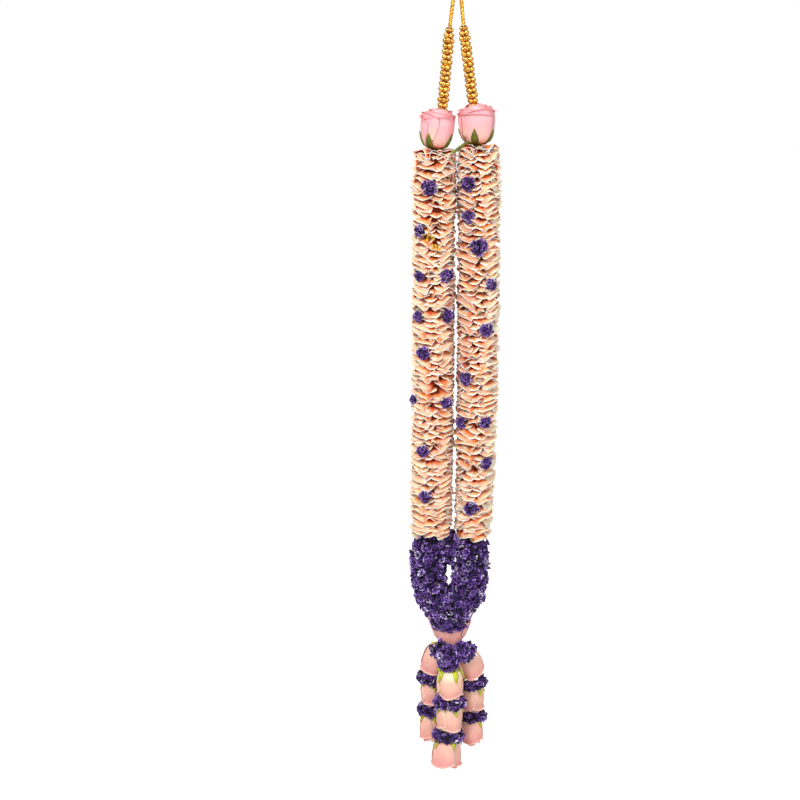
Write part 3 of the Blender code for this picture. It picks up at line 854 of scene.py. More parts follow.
@dataclass(frozen=True)
class StaticeFinish:
    """The papery violet of the statice florets, with painted shade dark inside and painted highlights lilac
    along the raised ribs.
    """

    name: str = "statice_violet"
    heart: Colour = tint(6, 1, 16)
    wall: Colour = tint(86, 42, 138)
    rim: Colour = tint(186, 154, 218)
    glint: Colour = tint(246, 238, 252)
    roughness: float = 0.55

    def build(self) -> Material:
        """Make the material.

        Returns:
            The material.
        """
        material, wiring, shader = start_material(self.name, self.roughness)
        cloud = wiring.noise(wiring.place(), 500.0, 2.0)
        rim = wiring.maths("ADD", wiring.mark("rim"), wiring.maths("MULTIPLY", wiring.mark("blush"), 0.22))
        rim = wiring.maths("ADD", rim, wiring.maths("MULTIPLY", wiring.maths("SUBTRACT", cloud, 0.5), 0.3))
        # Painted shade: heart darkens the pits and valleys.
        tone = wiring.mix(wiring.step(rim, 0.10, 0.6), self.heart, self.wall)
        # Painted highlight: lilac on the raised ribs.
        tone = wiring.mix(wiring.step(rim, 0.65, 1.05), tone, self.rim)
        # glint is near white on the ridges of a few florets: partly their small white flowers, partly
        # painted highlight.
        glint = wiring.maths("MULTIPLY", wiring.mark("pale"), wiring.step(wiring.mark("rim"), 0.35, 0.9))
        wiring.link(wiring.mix(glint, tone, self.glint), shader, "Base Color")
        add_bump(wiring, shader, cloud, 0.0003, 0.5)
        return material


class Finishes:
    """All of the garland's materials, built once."""

    def __init__(self) -> None:
        """Build the two shared groups and every material."""
        petals, grain = make_petal_group(), make_grain_group()
        self.gold_cord = GrainFinish(
            "gold_cord", tint(222, 138, 20), tint(255, 196, 70), 260.0, 2600.0, 0.3, 0.8, 0.0003
        ).build(grain)
        self.gold_bead = GrainFinish(
            "gold_bead", tint(214, 150, 62), tint(246, 198, 104), 180.0, 900.0, 0.24, 0.9, 0.0
        ).build(grain)
        self.rope_core = GrainFinish(
            "rope_core", tint(60, 14, 4), tint(104, 36, 10), 300.0, 2200.0, 0.7, grain_height=0.0003
        ).build(grain)
        self.green = GrainFinish(
            "green_sepal", tint(66, 74, 4), tint(120, 124, 16), 160.0, 1500.0, 0.5
        ).build(grain)
        self.lime = GrainFinish(
            "lime_sepal", tint(150, 160, 26), tint(196, 200, 40), 160.0, 1500.0, 0.5
        ).build(grain)
        # Painted shadow: the near-black of the statice bodies and stalks that shows between florets.
        self.statice_core = GrainFinish(
            "statice_shadow", tint(4, 1, 8), tint(16, 6, 28), 260.0, 1200.0, 0.9, grain_height=0.0008
        ).build(grain)
        # Painted shadow: the colour of the tube deep inside each strand.
        self.petal_core = GrainFinish(
            "petal_shadow", tint(96, 28, 10), tint(150, 60, 28), 140.0, 700.0, 0.8, grain_height=0.0008
        ).build(grain)
        self.yellow = GrainFinish(
            "stamen_yellow", tint(206, 150, 20), tint(250, 214, 70), 400.0, 2500.0, 0.5
        ).build(grain)
        self.thread = GrainFinish(
            "thread", tint(176, 150, 110), tint(226, 208, 170), 300.0, 2600.0, 0.75, grain_height=0.0003
        ).build(grain)
        self.statice = StaticeFinish().build()
        self.pink = PetalFinish(
            "pink_petal",
            deep=tint(242, 208, 176),
            fold=tint(242, 186, 172),
            face=tint(242, 170, 174),
            # Painted shade: rim is a darker pink at the petal edges, for the shade between the lips.
            rim=tint(236, 158, 164),
            pale=tint(255, 222, 222),
            tan=tint(180, 100, 84),
            fold_at=0.22,
            face_at=0.62,
            rim_from=0.45,
            rim_full=1.0,
            uneven=0.35,
        ).build(petals)
        # Peach for the strands: deep and fold paint shade towards the petal roots; the pale and tan colours
        # paint light on the outer sides and shade towards the other strand.
        self.peach = PetalFinish(
            "peach_petal",
            deep=tint(148, 28, 4),
            fold=tint(238, 98, 46),
            face=tint(255, 192, 152),
            rim=tint(255, 246, 230),
            pale=tint(255, 222, 194),
            tan=tint(168, 84, 44),
            fold_at=0.42,
            face_at=0.95,
            rim_from=0.30,
            rim_full=0.85,
            subsurface=0.50,
        ).build(petals)
        self.blush = PetalFinish(
            "blush_petal",
            deep=tint(250, 218, 188),
            fold=tint(246, 184, 164),
            face=tint(238, 158, 150),
            rim=tint(252, 228, 206),
            pale=tint(255, 232, 214),
            tan=tint(222, 160, 138),
            fold_at=0.32,
            face_at=0.96,
            rim_from=0.45,
            rim_full=1.0,
            uneven=0.55,
        ).build(petals)


# The studio


@dataclass
class Studio:
    """The camera, the lights, the white surroundings and the floor."""

    camera_at: Place = (-0.0670, -2.0, -0.0822)
    camera_pitch: float = 77.1
    lens: float = 75.0
    sensor: float = 36.0
    nearest: float = 0.05
    farthest: float = 200.0
    garland_middle: Place = (0.0, 0.0, -0.5)
    floor_size: float = 60.0
    floor_height: float = -3.4
    floor_tone: Colour = (0.9, 0.9, 0.9, 1.0)
    white: Colour = (1.0, 1.0, 1.0, 1.0)
    ambient: float = 0.54

    def build(self) -> None:
        """Make all of it."""
        self.make_camera()
        self.make_surroundings()
        self.make_floor()
        self.make_light("key", (-1.2, -2.2, 1.5), power=92.0, size=0.9)
        self.make_light("fill", (1.8, -2.2, 0.2), power=32.0, size=1.4)
        self.make_light("back", (0.6, 2.4, 1.4), power=26.0, size=1.6)

    def make_camera(self) -> None:
        """Put the camera where the photograph was taken from."""
        lens = bpy.data.cameras.new("camera")
        lens.lens = self.lens
        lens.sensor_width = self.sensor
        lens.clip_start = self.nearest
        lens.clip_end = self.farthest
        camera = put_in_scene("camera", lens)
        camera.location = self.camera_at
        camera.rotation_euler = (math.radians(self.camera_pitch), 0.0, 0.0)
        bpy.context.scene.camera = camera

    def make_surroundings(self) -> None:
        """Surround the garland with white, softer as a light than to the camera."""
        bpy.context.scene.view_settings.view_transform = "Standard"
        world = bpy.data.worlds.new("white")
        bpy.context.scene.world = world
        world.use_nodes = True
        wiring = Wiring(world.node_tree)
        shade = world.node_tree.nodes["Background"]
        shade.inputs["Color"].default_value = self.white
        seen = wiring.add("ShaderNodeLightPath").outputs["Is Camera Ray"]
        wiring.link(wiring.spread(seen, (0.0, 1.0), (self.ambient, 1.0)), shade, "Strength")

    def make_floor(self) -> None:
        """Lay a plain pale floor far below the hanging garland."""
        plane = bpy.ops.mesh.primitive_plane_add
        floor = add_primitive(plane, size=self.floor_size, location=(0.0, 0.0, self.floor_height))
        floor.name = "floor"
        material, wiring, shader = start_material("floor_white", 0.9)
        shader.inputs["Base Color"].default_value = self.floor_tone
        shader.inputs["Emission Color"].default_value = self.white
        seen = wiring.add("ShaderNodeLightPath").outputs["Is Camera Ray"]
        wiring.link(seen, shader, "Emission Strength")
        floor.data.materials.append(material)

    def make_light(self, name: str, place: Place, power: float, size: float) -> None:
        """Add one soft light that faces the garland's middle.

        Args:
            name: The light's name.
            place: Where it stands.
            power: Its power in watts.
            size: The side of its square face in metres.
        """
        lamp = bpy.data.lights.new(name, "AREA")
        lamp.energy = power
        lamp.size = size
        light = put_in_scene(name, lamp)
        light.location = place
        aim = Vector(self.garland_middle) - Vector(place)
        light.rotation_euler = aim.to_track_quat("-Z", "Y").to_euler()


# The gold cord and the beads


@dataclass
class NeckCord:
    """The twisted gold cord: an eye at the top, a whipping below it and two legs down to the beads."""

    finishes: Finishes
    left_leg: tuple[tuple[float, float], ...] = (
        (-0.0087, -0.0922),
        (-0.0069, -0.0770),
        (-0.0053, -0.0640),
        (-0.0038, -0.0520),
    )
    half_eye: tuple[tuple[float, float], ...] = (
        (0.0028, -0.0440),
        (0.0025, -0.0390),
        (0.0026, -0.0338),
        (0.0032, -0.0282),
        (0.0053, -0.0227),
        (0.0087, -0.0178),
        (0.0114, -0.0129),
        (0.0118, -0.0074),
        (0.0096, -0.0023),
        (0.0053, 0.0012),
    )
    eye_top: tuple[float, float] = (0.0, 0.0024)
    right_leg: tuple[tuple[float, float], ...] = (
        (0.0036, -0.0520),
        (0.0048, -0.0640),
        (0.0060, -0.0770),
        (0.0073, -0.0900),
    )
    diameter: float = 0.0048
    length: float = 0.2056
    strands: int = 3
    points_a_lobe: int = 7
    turn_pitch: float = 0.0140
    steps: int = 200
    whipping_top: float = -0.0354
    whipping_bottom: float = -0.0429
    whipping_half_width: float = 0.0026
    whipping_play: float = 0.0003
    whipping_thread: float = 0.00056
    whipping_turns: int = 6
    whipping_steps: int = 26

    def route(self) -> list[Vector]:
        """Give the cord's line: up the left leg, round the eye and down the right leg."""
        left_eye = [(-x, z) for x, z in self.half_eye]
        line = [*self.left_leg, *left_eye, self.eye_top, *reversed(self.half_eye), *self.right_leg]
        return [upright(point) for point in line]

    def build(self) -> None:
        points = smooth_along(self.route(), self.steps)
        cord = self.make_cord(points)
        settle(cord, Slot.GOLD_CORD, "neck_cord", material=self.finishes.gold_cord)
        whipping = self.make_whipping()
        settle(whipping, Slot.GOLD_CORD, "neck_whipping", material=self.finishes.gold_cord)

    def make_section(self) -> Object:
        """Draw the cord's section, with one lobe for each of its strands.

        Returns:
            The closed flat curve.
        """
        count = self.strands * self.points_a_lobe
        spots = []
        for index in range(count):
            angle = index / count * math.tau
            lobe = abs(math.sin(angle * self.strands / 2.0)) ** 0.7
            radius = self.diameter / 2.0 * (0.70 + 0.32 * lobe)
            spots.append(Vector((radius * math.cos(angle), radius * math.sin(angle), 0.0)))
        curve = drawn_curve("cord_section", spots)
        curve.dimensions = "2D"
        curve.splines[0].use_cyclic_u = True
        return put_in_scene("cord_section", curve)

    def make_cord(self, points: Sequence[Vector]) -> Object:
        """Sweep the section along the route while it turns, as the strands are laid.

        Args:
            points: The points of the route.

        Returns:
            The cord as a mesh.
        """
        section = self.make_section()
        curve = drawn_curve("neck_cord", points)
        curve.bevel_mode = "OBJECT"
        curve.bevel_object = section
        gone = 0.0
        for index, spot in enumerate(curve.splines[0].points):
            if index:
                gone += (points[index] - points[index - 1]).length
            spot.tilt = gone / self.turn_pitch * math.tau
        cord = curve_to_mesh("neck_cord_twisted", curve)
        bpy.ops.object.shade_smooth_by_angle(angle=math.radians(50.0))
        bpy.data.objects.remove(section)
        return cord

    def make_whipping(self) -> Object:
        """Wind a thread round both legs of the cord, just below the eye.

        Returns:
            The whipping as a mesh.
        """
        reach = self.diameter / 2.0 + self.whipping_play + self.whipping_thread
        count = self.whipping_turns * self.whipping_steps
        points = []
        for index in range(count + 1):
            angle = index / self.whipping_steps * math.tau
            out, share = math.cos(angle), index / count
            side = math.copysign(self.whipping_half_width, out) if abs(out) > 0.05 else 0.0
            height = self.whipping_top + (self.whipping_bottom - self.whipping_top) * share
            points.append(Vector((side + reach * out, reach * math.sin(angle), height)))
        return wound_tube("neck_whipping_turns", points, self.whipping_thread * 1.1)


@dataclass
class BeadRope:
    """One rope of gold beads round a dark thread, four beads in a row and each row turned from the last."""

    finishes: Finishes
    side: Side
    top: tuple[float, float]
    bottom: tuple[float, float]
    rows: int = 16
    beads_round: int = 4
    bead_radius: float = 0.0033
    ring_radius: float = 0.0038
    top_bead_radius: float = 0.0026
    top_ring_radius: float = 0.0027
    top_drop: float = 0.0006
    bead_segments: int = 14
    bead_rings: int = 9
    dimple: float = 0.82
    core_radius: float = 0.0036
    core_inset: float = 0.0004

    @property
    def name(self) -> str:
        """The CAD node that the rope stands for."""
        return f"bead_rope_{self.side.name.lower()}"

    def build(self) -> None:
        """Model the beads and the thread in the middle."""
        bead = self.make_bead()
        start, end = upright(self.top), upright(self.bottom)
        down = (end - start).normalized()
        across = down.cross(FRONT)
        dice = random.Random(31 + self.side.value)
        pitch = (end - start).length / self.rows
        beads = []
        for row in range(self.rows):
            first = row == 0
            ring = self.top_ring_radius if first else self.ring_radius
            size = self.top_bead_radius if first else self.bead_radius
            turn = (0.5 if row % 2 else 0.0) + 0.03 * row + dice.uniform(-0.06, 0.06)
            centre = start + down * (pitch * (row + 0.5) + (self.top_drop if first else 0.0))
            for place in range(self.beads_round):
                angle = (place + turn) / self.beads_round * math.tau
                out = FRONT * math.cos(angle) + across * math.sin(angle)
                spot = centre + out * (ring + dice.uniform(-0.0002, 0.0003))
                spot += down * dice.uniform(-0.0004, 0.0004)
                scale = Matrix.Scale(size * dice.uniform(0.97, 1.04), 4)
                beads.append(stamp(bead, stand_at(spot, out, any_turn(dice)) @ scale, {}))
        discard([bead])
        settle(join(f"{self.name}_beads", beads), Slot.GOLD_BEAD, self.name)
        inset = down * self.core_inset
        line = [start + inset, start + down * 0.004, end - inset]
        core = wound_tube(f"{self.name}_thread", line, self.core_radius, 3)
        settle(core, Slot.GOLD_BEAD, material=self.finishes.rope_core)

    def make_bead(self) -> Object:
        """Model one bead of radius 1 with a dimple at each end of its hole.

        Returns:
            The master.
        """
        sphere = bpy.ops.mesh.primitive_uv_sphere_add
        bead = add_primitive(sphere, segments=self.bead_segments, ring_count=self.bead_rings, radius=1.0)
        bpy.ops.object.mode_set(mode="EDIT")
        bpy.ops.mesh.select_all(action="DESELECT")
        bpy.ops.object.mode_set(mode="OBJECT")
        for vertex in bead.data.vertices:
            vertex.select = abs(vertex.co.z) > 0.999
        bpy.ops.object.mode_set(mode="EDIT")
        bpy.ops.transform.resize(value=(1.0, 1.0, self.dimple))
        bpy.ops.object.mode_set(mode="OBJECT")
        bpy.ops.object.shade_smooth()
        dress(bead, self.finishes.gold_bead)
        return bead


# Roses


@dataclass(frozen=True)
class RosePetal:
    """One petal of a rose: where it sits round the axis, how far it reaches and how its lip turns out."""

    angle: float
    half_span: float
    start: float
    top: float
    scale: float
    lift: float
    lip_turn: float
    lip_radius: float
    shoulder: float
    point: float
    wave: float
    close: float


@dataclass
class Rose:
    """A rose head of overlapping petals on a green calyx, along an axis from its base to its mouth."""

    name: str
    base: Vector
    mouth: Vector
    radius: float
    outline: tuple[tuple[float, float], ...]
    finish: Material
    slot: Slot
    green: Material
    petals: tuple[RosePetal, ...]
    sepal_angles: tuple[float, ...]
    seed: int
    flare: float = 0.0
    lip_from: float = 0.86
    petal_grid: tuple[int, int] = (16, 14)
    petal_rim: float = 0.0018
    sepal_grid: tuple[int, int] = (4, 8)
    sepal_rim: float = 0.0012
    sepal_reach: float = 0.41
    sepal_width: float = 0.0092
    sepal_gap: float = 0.0021
    cup_sides: int = 14
    cup_profile: tuple[tuple[float, float], ...] = (
        (0.0022, -0.0044),
        (0.0026, -0.0030),
        (0.0044, -0.0012),
        (0.0060, 0.0006),
        (0.0064, 0.0030),
    )

    def __post_init__(self) -> None:
        """Work out the rose's own directions."""
        self.length = (self.mouth - self.base).length
        self.axis = (self.mouth - self.base).normalized()
        self.front = (FRONT - self.axis * FRONT.dot(self.axis)).normalized()
        right = RIGHT - self.axis * RIGHT.dot(self.axis) - self.front * RIGHT.dot(self.front)
        self.right = right.normalized()

    def radius_at(self, share: float) -> float:
        """Read the rose's radius at a share of its length.

        Args:
            share: 0 at the base and 1 at the mouth.

        Returns:
            The radius in metres.
        """
        radii, shares = zip(*self.outline, strict=True)
        index, part = stretch_at(shares, share)
        part = part * (2.0 - part) * 0.35 + part * 0.65
        flare = 1.0 + self.flare * max(0.0, share - 0.4) ** 1.5
        return self.radius * (radii[index] + (radii[index + 1] - radii[index]) * part) * flare

    def place(self, angle: float, share: float, radius: float) -> Vector:
        """Turn an angle from the front, a share of the length and a distance from the axis into a place."""
        out = self.front * math.cos(angle) + self.right * math.sin(angle)
        return self.base + self.axis * (share * self.length) + out * radius

    def petal_surface(self, petal: RosePetal, phase: float) -> Surface:
        """Give the surface that one petal follows.

        Args:
            petal: The petal's sizes.
            phase: Where the waves of its rim start.

        Returns:
            The function from shares across and along to a place.
        """
        lip_from = self.lip_from
        turn = math.radians(petal.lip_turn)

        def surface(across: float, along: float) -> Vector:
            """Place one point of the petal."""
            edge = abs(across)
            top = petal.top - petal.shoulder * edge**2.6 + petal.point * max(0.0, 1.0 - edge * 1.6)
            share = petal.start + (top - petal.start) * min(along, lip_from) / lip_from
            spread = 0.72 + 0.28 * math.sin(min(1.0, along * 1.35) * math.pi / 2.0)
            angle = math.radians(petal.angle + petal.half_span * across * spread)
            radius = self.radius_at(min(share, 1.0)) * petal.scale + petal.lift * across
            radius *= 1.0 - petal.close * max(0.0, (share - 0.62) / 0.38) ** 2
            radius += petal.wave * along**2 * math.sin(across * 5.2 + phase)
            lip = max(0.0, (along - lip_from) / (1.0 - lip_from))
            curl = turn * lip * (1.0 - 0.35 * edge**2)
            radius += petal.lip_radius * (1.0 - math.cos(curl))
            share += petal.lip_radius * math.sin(curl) / self.length
            return self.place(angle, share, max(radius, 0.0004))

        return surface

    def build(self) -> None:
        """Model the petals and the calyx, which stand for the CAD nodes with the rose's name."""
        dice = random.Random(self.seed)
        sheets = []
        for petal in self.petals:
            surface = self.petal_surface(petal, any_turn(dice))
            sheet = shaped_sheet("rose_petal", *self.petal_grid, surface, self.petal_rim)
            set_same_mark(sheet.data, "blush", dice.uniform(-0.4, 0.4))
            sheets.append(thicken(sheet, self.finish))
        settle(join(f"{self.name}_petals_open", sheets), self.slot, f"{self.name}_petals")
        parts = [self.make_cup(), *(self.make_sepal(math.radians(a), dice) for a in self.sepal_angles)]
        settle(join(f"{self.name}_calyx_leaves", parts), Slot.GREEN_SEPAL, f"{self.name}_calyx")

    def make_cup(self) -> Object:
        """Model the green cup under the petals, with its short stem.

        Returns:
            The cup.
        """
        cylinder = bpy.ops.mesh.primitive_cylinder_add
        cup = add_primitive(cylinder, vertices=self.cup_sides, radius=1.0, depth=1.0)
        select_faces(cup, lambda polygon: polygon.normal.z > 0.9)
        for _ in self.cup_profile[2:]:
            bpy.ops.mesh.extrude_region_move(TRANSFORM_OT_translate={"value": (0.0, 0.0, 1.0)})
        bpy.ops.object.mode_set(mode="OBJECT")
        for vertex in cup.data.vertices:
            radius, height = self.cup_profile[round(vertex.co.z + 0.5)]
            across = Vector((vertex.co.x, vertex.co.y)).normalized()
            out = self.front * across.y + self.right * across.x
            vertex.co = self.base + self.axis * height + out * radius
        turn_faces_out(cup)
        bpy.ops.object.shade_smooth_by_angle(angle=math.radians(60.0))
        dress(cup, self.green)
        return cup

    def make_sepal(self, angle: float, dice: random.Random) -> Object:
        """Model one pointed sepal that lies on the petals.

        Args:
            angle: Radians from the front towards the right.
            dice: The seeded source of chance.

        Returns:
            The sepal.
        """
        width = self.sepal_width * dice.uniform(0.9, 1.1)
        reach = self.sepal_reach * dice.uniform(0.92, 1.05)
        lean = dice.uniform(-0.10, 0.10)

        def surface(across: float, along: float) -> Vector:
            """Place one point of the sepal."""
            share = 0.01 + reach * along
            wide = width * math.sin(math.pi * (0.30 + 0.70 * min(along, 0.995))) ** 1.1
            radius = self.radius_at(share) + self.sepal_gap + 0.0016 * max(0.0, along - 0.6) ** 1.2
            radius -= 0.0010 * across * across
            turn = angle + lean * along + across * max(wide, 0.0001) / 2.0 / max(radius, 0.004)
            return self.place(turn, share, radius)

        return thicken(shaped_sheet("sepal", *self.sepal_grid, surface, self.sepal_rim), self.green)


@dataclass(frozen=True)
class RoseLayer:
    """One layer of like petals in a rose, from which its petals are laid out."""

    count: int
    half_span: float
    start: float
    top: float
    scale: float
    lip_turn: float
    close: float


OPEN_LAYERS = (
    RoseLayer(3, 78.0, 0.02, 0.78, 1.00, 120.0, 0.00),
    RoseLayer(3, 74.0, 0.20, 0.84, 0.95, 100.0, 0.04),
    RoseLayer(3, 80.0, 0.30, 0.92, 0.88, 50.0, 0.16),
    RoseLayer(3, 84.0, 0.40, 0.98, 0.74, 25.0, 0.30),
    RoseLayer(3, 90.0, 0.45, 1.01, 0.54, 10.0, 0.30),
    RoseLayer(2, 120.0, 0.50, 1.01, 0.30, 0.0, 0.30),
)
BUD_LAYERS = (
    RoseLayer(3, 76.0, 0.02, 0.90, 1.00, 80.0, 0.04),
    RoseLayer(4, 64.0, 0.25, 0.98, 0.95, 50.0, 0.14),
    RoseLayer(3, 74.0, 0.35, 1.02, 0.84, 20.0, 0.30),
    RoseLayer(3, 80.0, 0.45, 1.04, 0.66, 5.0, 0.40),
    RoseLayer(2, 105.0, 0.50, 1.04, 0.40, 0.0, 0.40),
)


def rose_plan(layers: Sequence[RoseLayer], first_angle: float, seed: int) -> tuple[RosePetal, ...]:
    """Lay out a rose's petals, from the outer ones to the heart.

    Args:
        layers: The rose's layers.
        first_angle: Where the first outer petal faces, in degrees from the front.
        seed: Seeds the small differences between the petals.

    Returns:
        The petals.
    """
    dice = random.Random(seed)
    plan = []
    for depth, layer in enumerate(layers):
        for index in range(layer.count):
            angle = first_angle + 41.0 * depth + index * 360.0 / layer.count + dice.uniform(-7.0, 7.0)
            plan.append(
                RosePetal(
                    angle=angle,
                    half_span=layer.half_span * dice.uniform(0.94, 1.05),
                    start=layer.start,
                    top=layer.top + dice.uniform(-0.03, 0.03),
                    scale=layer.scale,
                    lift=0.0011 if depth == 0 else 0.0008,
                    lip_turn=layer.lip_turn * dice.uniform(0.8, 1.25),
                    lip_radius=0.0017,
                    shoulder=dice.uniform(0.08, 0.16),
                    point=dice.uniform(0.0, 0.05),
                    wave=0.0011,
                    close=layer.close,
                )
            )
    return tuple(plan)


# Petal strands with their statice sprigs


@dataclass(frozen=True)
class FoldedPetal:
    """One way that a folded rose petal lies in a strand, its root at the origin and its tip along +Y.

    Lengths are in metres and angles in degrees. A dip is the slope of its middle line below level.
    """

    length: float = 0.0236
    half_width: float = 0.0165
    first_dip: float = -4.0
    last_dip: float = 20.0
    cup: float = 0.0
    crease: float = 0.0
    wave: float = 20.0
    waves: float = 1.6
    phase: float = 0.0
    roll: float = 0.0
    steps_along: int = 14
    steps_across: int = 10

    def middle(self, share: float) -> tuple[float, float, float]:
        """Follow the middle line.

        Args:
            share: How far along it, from 0 to 1.

        Returns:
            The distance out, the height and the dip in radians.
        """
        steps = self.steps_along
        out = height = dip = 0.0
        for index in range(steps):
            part = (index + 0.5) / steps * share
            dip = math.radians(self.first_dip + (self.last_dip - self.first_dip) * part**1.5)
            out += math.cos(dip) * share / steps * self.length
            height -= math.sin(dip) * share / steps * self.length
        return out, height, dip

    def section(self, across: float, strength: float) -> tuple[float, float]:
        """Follow the petal's section from its middle towards one side.

        Args:
            across: How far to go, from -1 to 1.
            strength: How much of the folds shows there.

        Returns:
            The distance to the side and the rise off the petal's plane, both for a half width of 1.
        """
        steps = self.steps_across
        side = rise = 0.0
        for index in range(steps):
            part = (index + 0.5) / steps * across
            slope = self.cup * part + self.crease * math.tanh(6.0 * part)
            slope += self.wave * math.cos(self.waves * math.pi * part + self.phase)
            if self.roll * part > 0.0:
                slope += self.roll * max(0.0, (abs(part) - 0.25) / 0.75) ** 1.2
            slope = math.radians(slope * strength)
            side += math.cos(slope) * across / steps
            rise += math.sin(slope) * across / steps
        return side, rise

    def surface(self, across: float, along: float) -> Vector:
        """Place one point of the petal.

        Args:
            across: From -1 to 1.
            along: From 0 at the root to 1 at the tip.

        Returns:
            The place in the petal's own frame.
        """
        share = along * (1.0 - 0.30 * abs(across) ** 2.4)
        wide = self.half_width * (0.34 + 0.66 * math.sin(min(1.0, share / 0.66) * math.pi / 2.0))
        side, rise = self.section(across, min(1.0, share * 1.5))
        out, height, dip = self.middle(share)
        return Vector((side * wide, out + rise * wide * math.sin(dip), height + rise * wide * math.cos(dip)))


FOLDED_PETALS = (
    FoldedPetal(cup=-84.0, wave=26.0, waves=2.4),
    FoldedPetal(cup=-96.0, wave=22.0, waves=2.6, phase=1.0, last_dip=28.0),
    FoldedPetal(cup=-72.0, wave=30.0, waves=2.8, phase=2.5, last_dip=14.0),
    FoldedPetal(cup=-84.0, waves=1.5, last_dip=24.0),
    FoldedPetal(cup=-84.0, waves=1.5, phase=3.14),
    FoldedPetal(crease=-54.0, wave=12.0, last_dip=26.0),
    FoldedPetal(cup=-70.0, wave=30.0, waves=1.4, last_dip=26.0),
    FoldedPetal(cup=-70.0, wave=30.0, waves=1.4, phase=3.14, last_dip=22.0),
    FoldedPetal(cup=-76.0, wave=12.0, roll=120.0, last_dip=24.0),
    FoldedPetal(cup=-76.0, wave=12.0, roll=-120.0, last_dip=18.0),
)
INNER_PETAL = FoldedPetal(length=0.0168, half_width=0.0095, first_dip=-8.0, last_dip=64.0, wave=34.0)
COLUMNS = (-130.0, -92.0, -54.0, 54.0, 92.0, 130.0)
GOLDEN_ANGLE = 2.399963


@dataclass(frozen=True)
class Sprig:
    """A statice head in a strand: its depth below the mount, its angle from the front and its size."""

    depth: float
    angle: float
    size: float

    def facing(self) -> Vector:
        """Give the direction that the head faces, a little downwards."""
        turn = math.radians(self.angle)
        return Vector((math.sin(turn), -math.cos(turn), -0.10)).normalized()


class FloretBox:
    """Keeps the floret masters and scatters their copies."""

    def __init__(self, material: Material) -> None:
        """Model the masters, in the florets' finish."""
        shapes = ((18, 1.0, 0.50), (16, 0.72, 0.58), (14, 0.52, 0.62), (18, 0.85, 0.38))
        self.masters = [
            self.make_floret(f"floret_{index}", sides, squash, depth, material)
            for index, (sides, squash, depth) in enumerate(shapes)
        ]

    @staticmethod
    def make_floret(name: str, sides: int, squash: float, depth: float, material: Material) -> Object:
        """Model a pleated papery funnel, about 1 across, whose foot stands on the origin.

        Args:
            name: The master's name.
            sides: Twice the number of its ribs.
            squash: Its width on Y as a share of that on X.
            depth: Its height.
            material: The floret's finish.

        Returns:
            The master.
        """
        floret = add_primitive(
            bpy.ops.mesh.primitive_cone_add,
            vertices=sides,
            radius1=0.5,
            radius2=0.0,
            depth=depth,
            end_fill_type="TRIFAN",
            location=(0.0, 0.0, depth / 2.0),
            rotation=(math.pi, 0.0, 0.0),
        )
        floret.name = name
        bpy.ops.object.transform_apply(location=True, rotation=True, scale=False)
        select_faces(floret, lambda polygon: polygon.normal.z > 0.9)
        bpy.ops.mesh.inset(thickness=0.24)
        bpy.ops.object.mode_set(mode="OBJECT")
        marks = []
        for vertex in floret.data.vertices:
            radius = math.hypot(vertex.co.x, vertex.co.y)
            turn = math.atan2(vertex.co.y, vertex.co.x)
            ridge = round(turn / (math.tau / sides)) % 2 == 0
            if radius > 0.45:
                size, height, mark = (0.53, depth, 1.0) if ridge else (0.45, depth * 0.82, 0.22)
            elif radius > 0.1:
                size, height, mark = (0.29, depth * 0.74, 0.62) if ridge else (0.22, depth * 0.46, 0.08)
            else:
                size, height, mark = 0.0, depth * 0.26 if vertex.co.z > depth / 2.0 else 0.0, 0.0
            marks.append(mark)
            vertex.co = Vector((size * math.cos(turn), size * math.sin(turn) * squash, height))
        # rim is 1 on the outer ridges and near 0 in the pit; the finish paints highlights and shade from it.
        set_mark(floret.data, "rim", marks)
        turn_faces_out(floret)
        dress(floret, material)
        return floret

    def floret(self, spot: Vector, up: Vector, size: float, dice: random.Random) -> Object:
        """Copy one floret to its place.

        Args:
            spot: Where it stands.
            up: Where it opens to.
            size: Its width in metres.
            dice: The seeded source of chance.

        Returns:
            The copy.
        """
        place = stand_at(spot, up, any_turn(dice))
        place = place @ Matrix.Diagonal((size, size, size * dice.uniform(0.8, 1.15), 1.0))
        # pale picks the few florets with the near-white glint, partly white flowers and partly painted
        # highlight.
        marks = {"blush": dice.uniform(-1.0, 1.0), "pale": 1.0 if dice.random() < 0.10 else 0.0}
        return stamp(dice.choice(self.masters), place, marks)


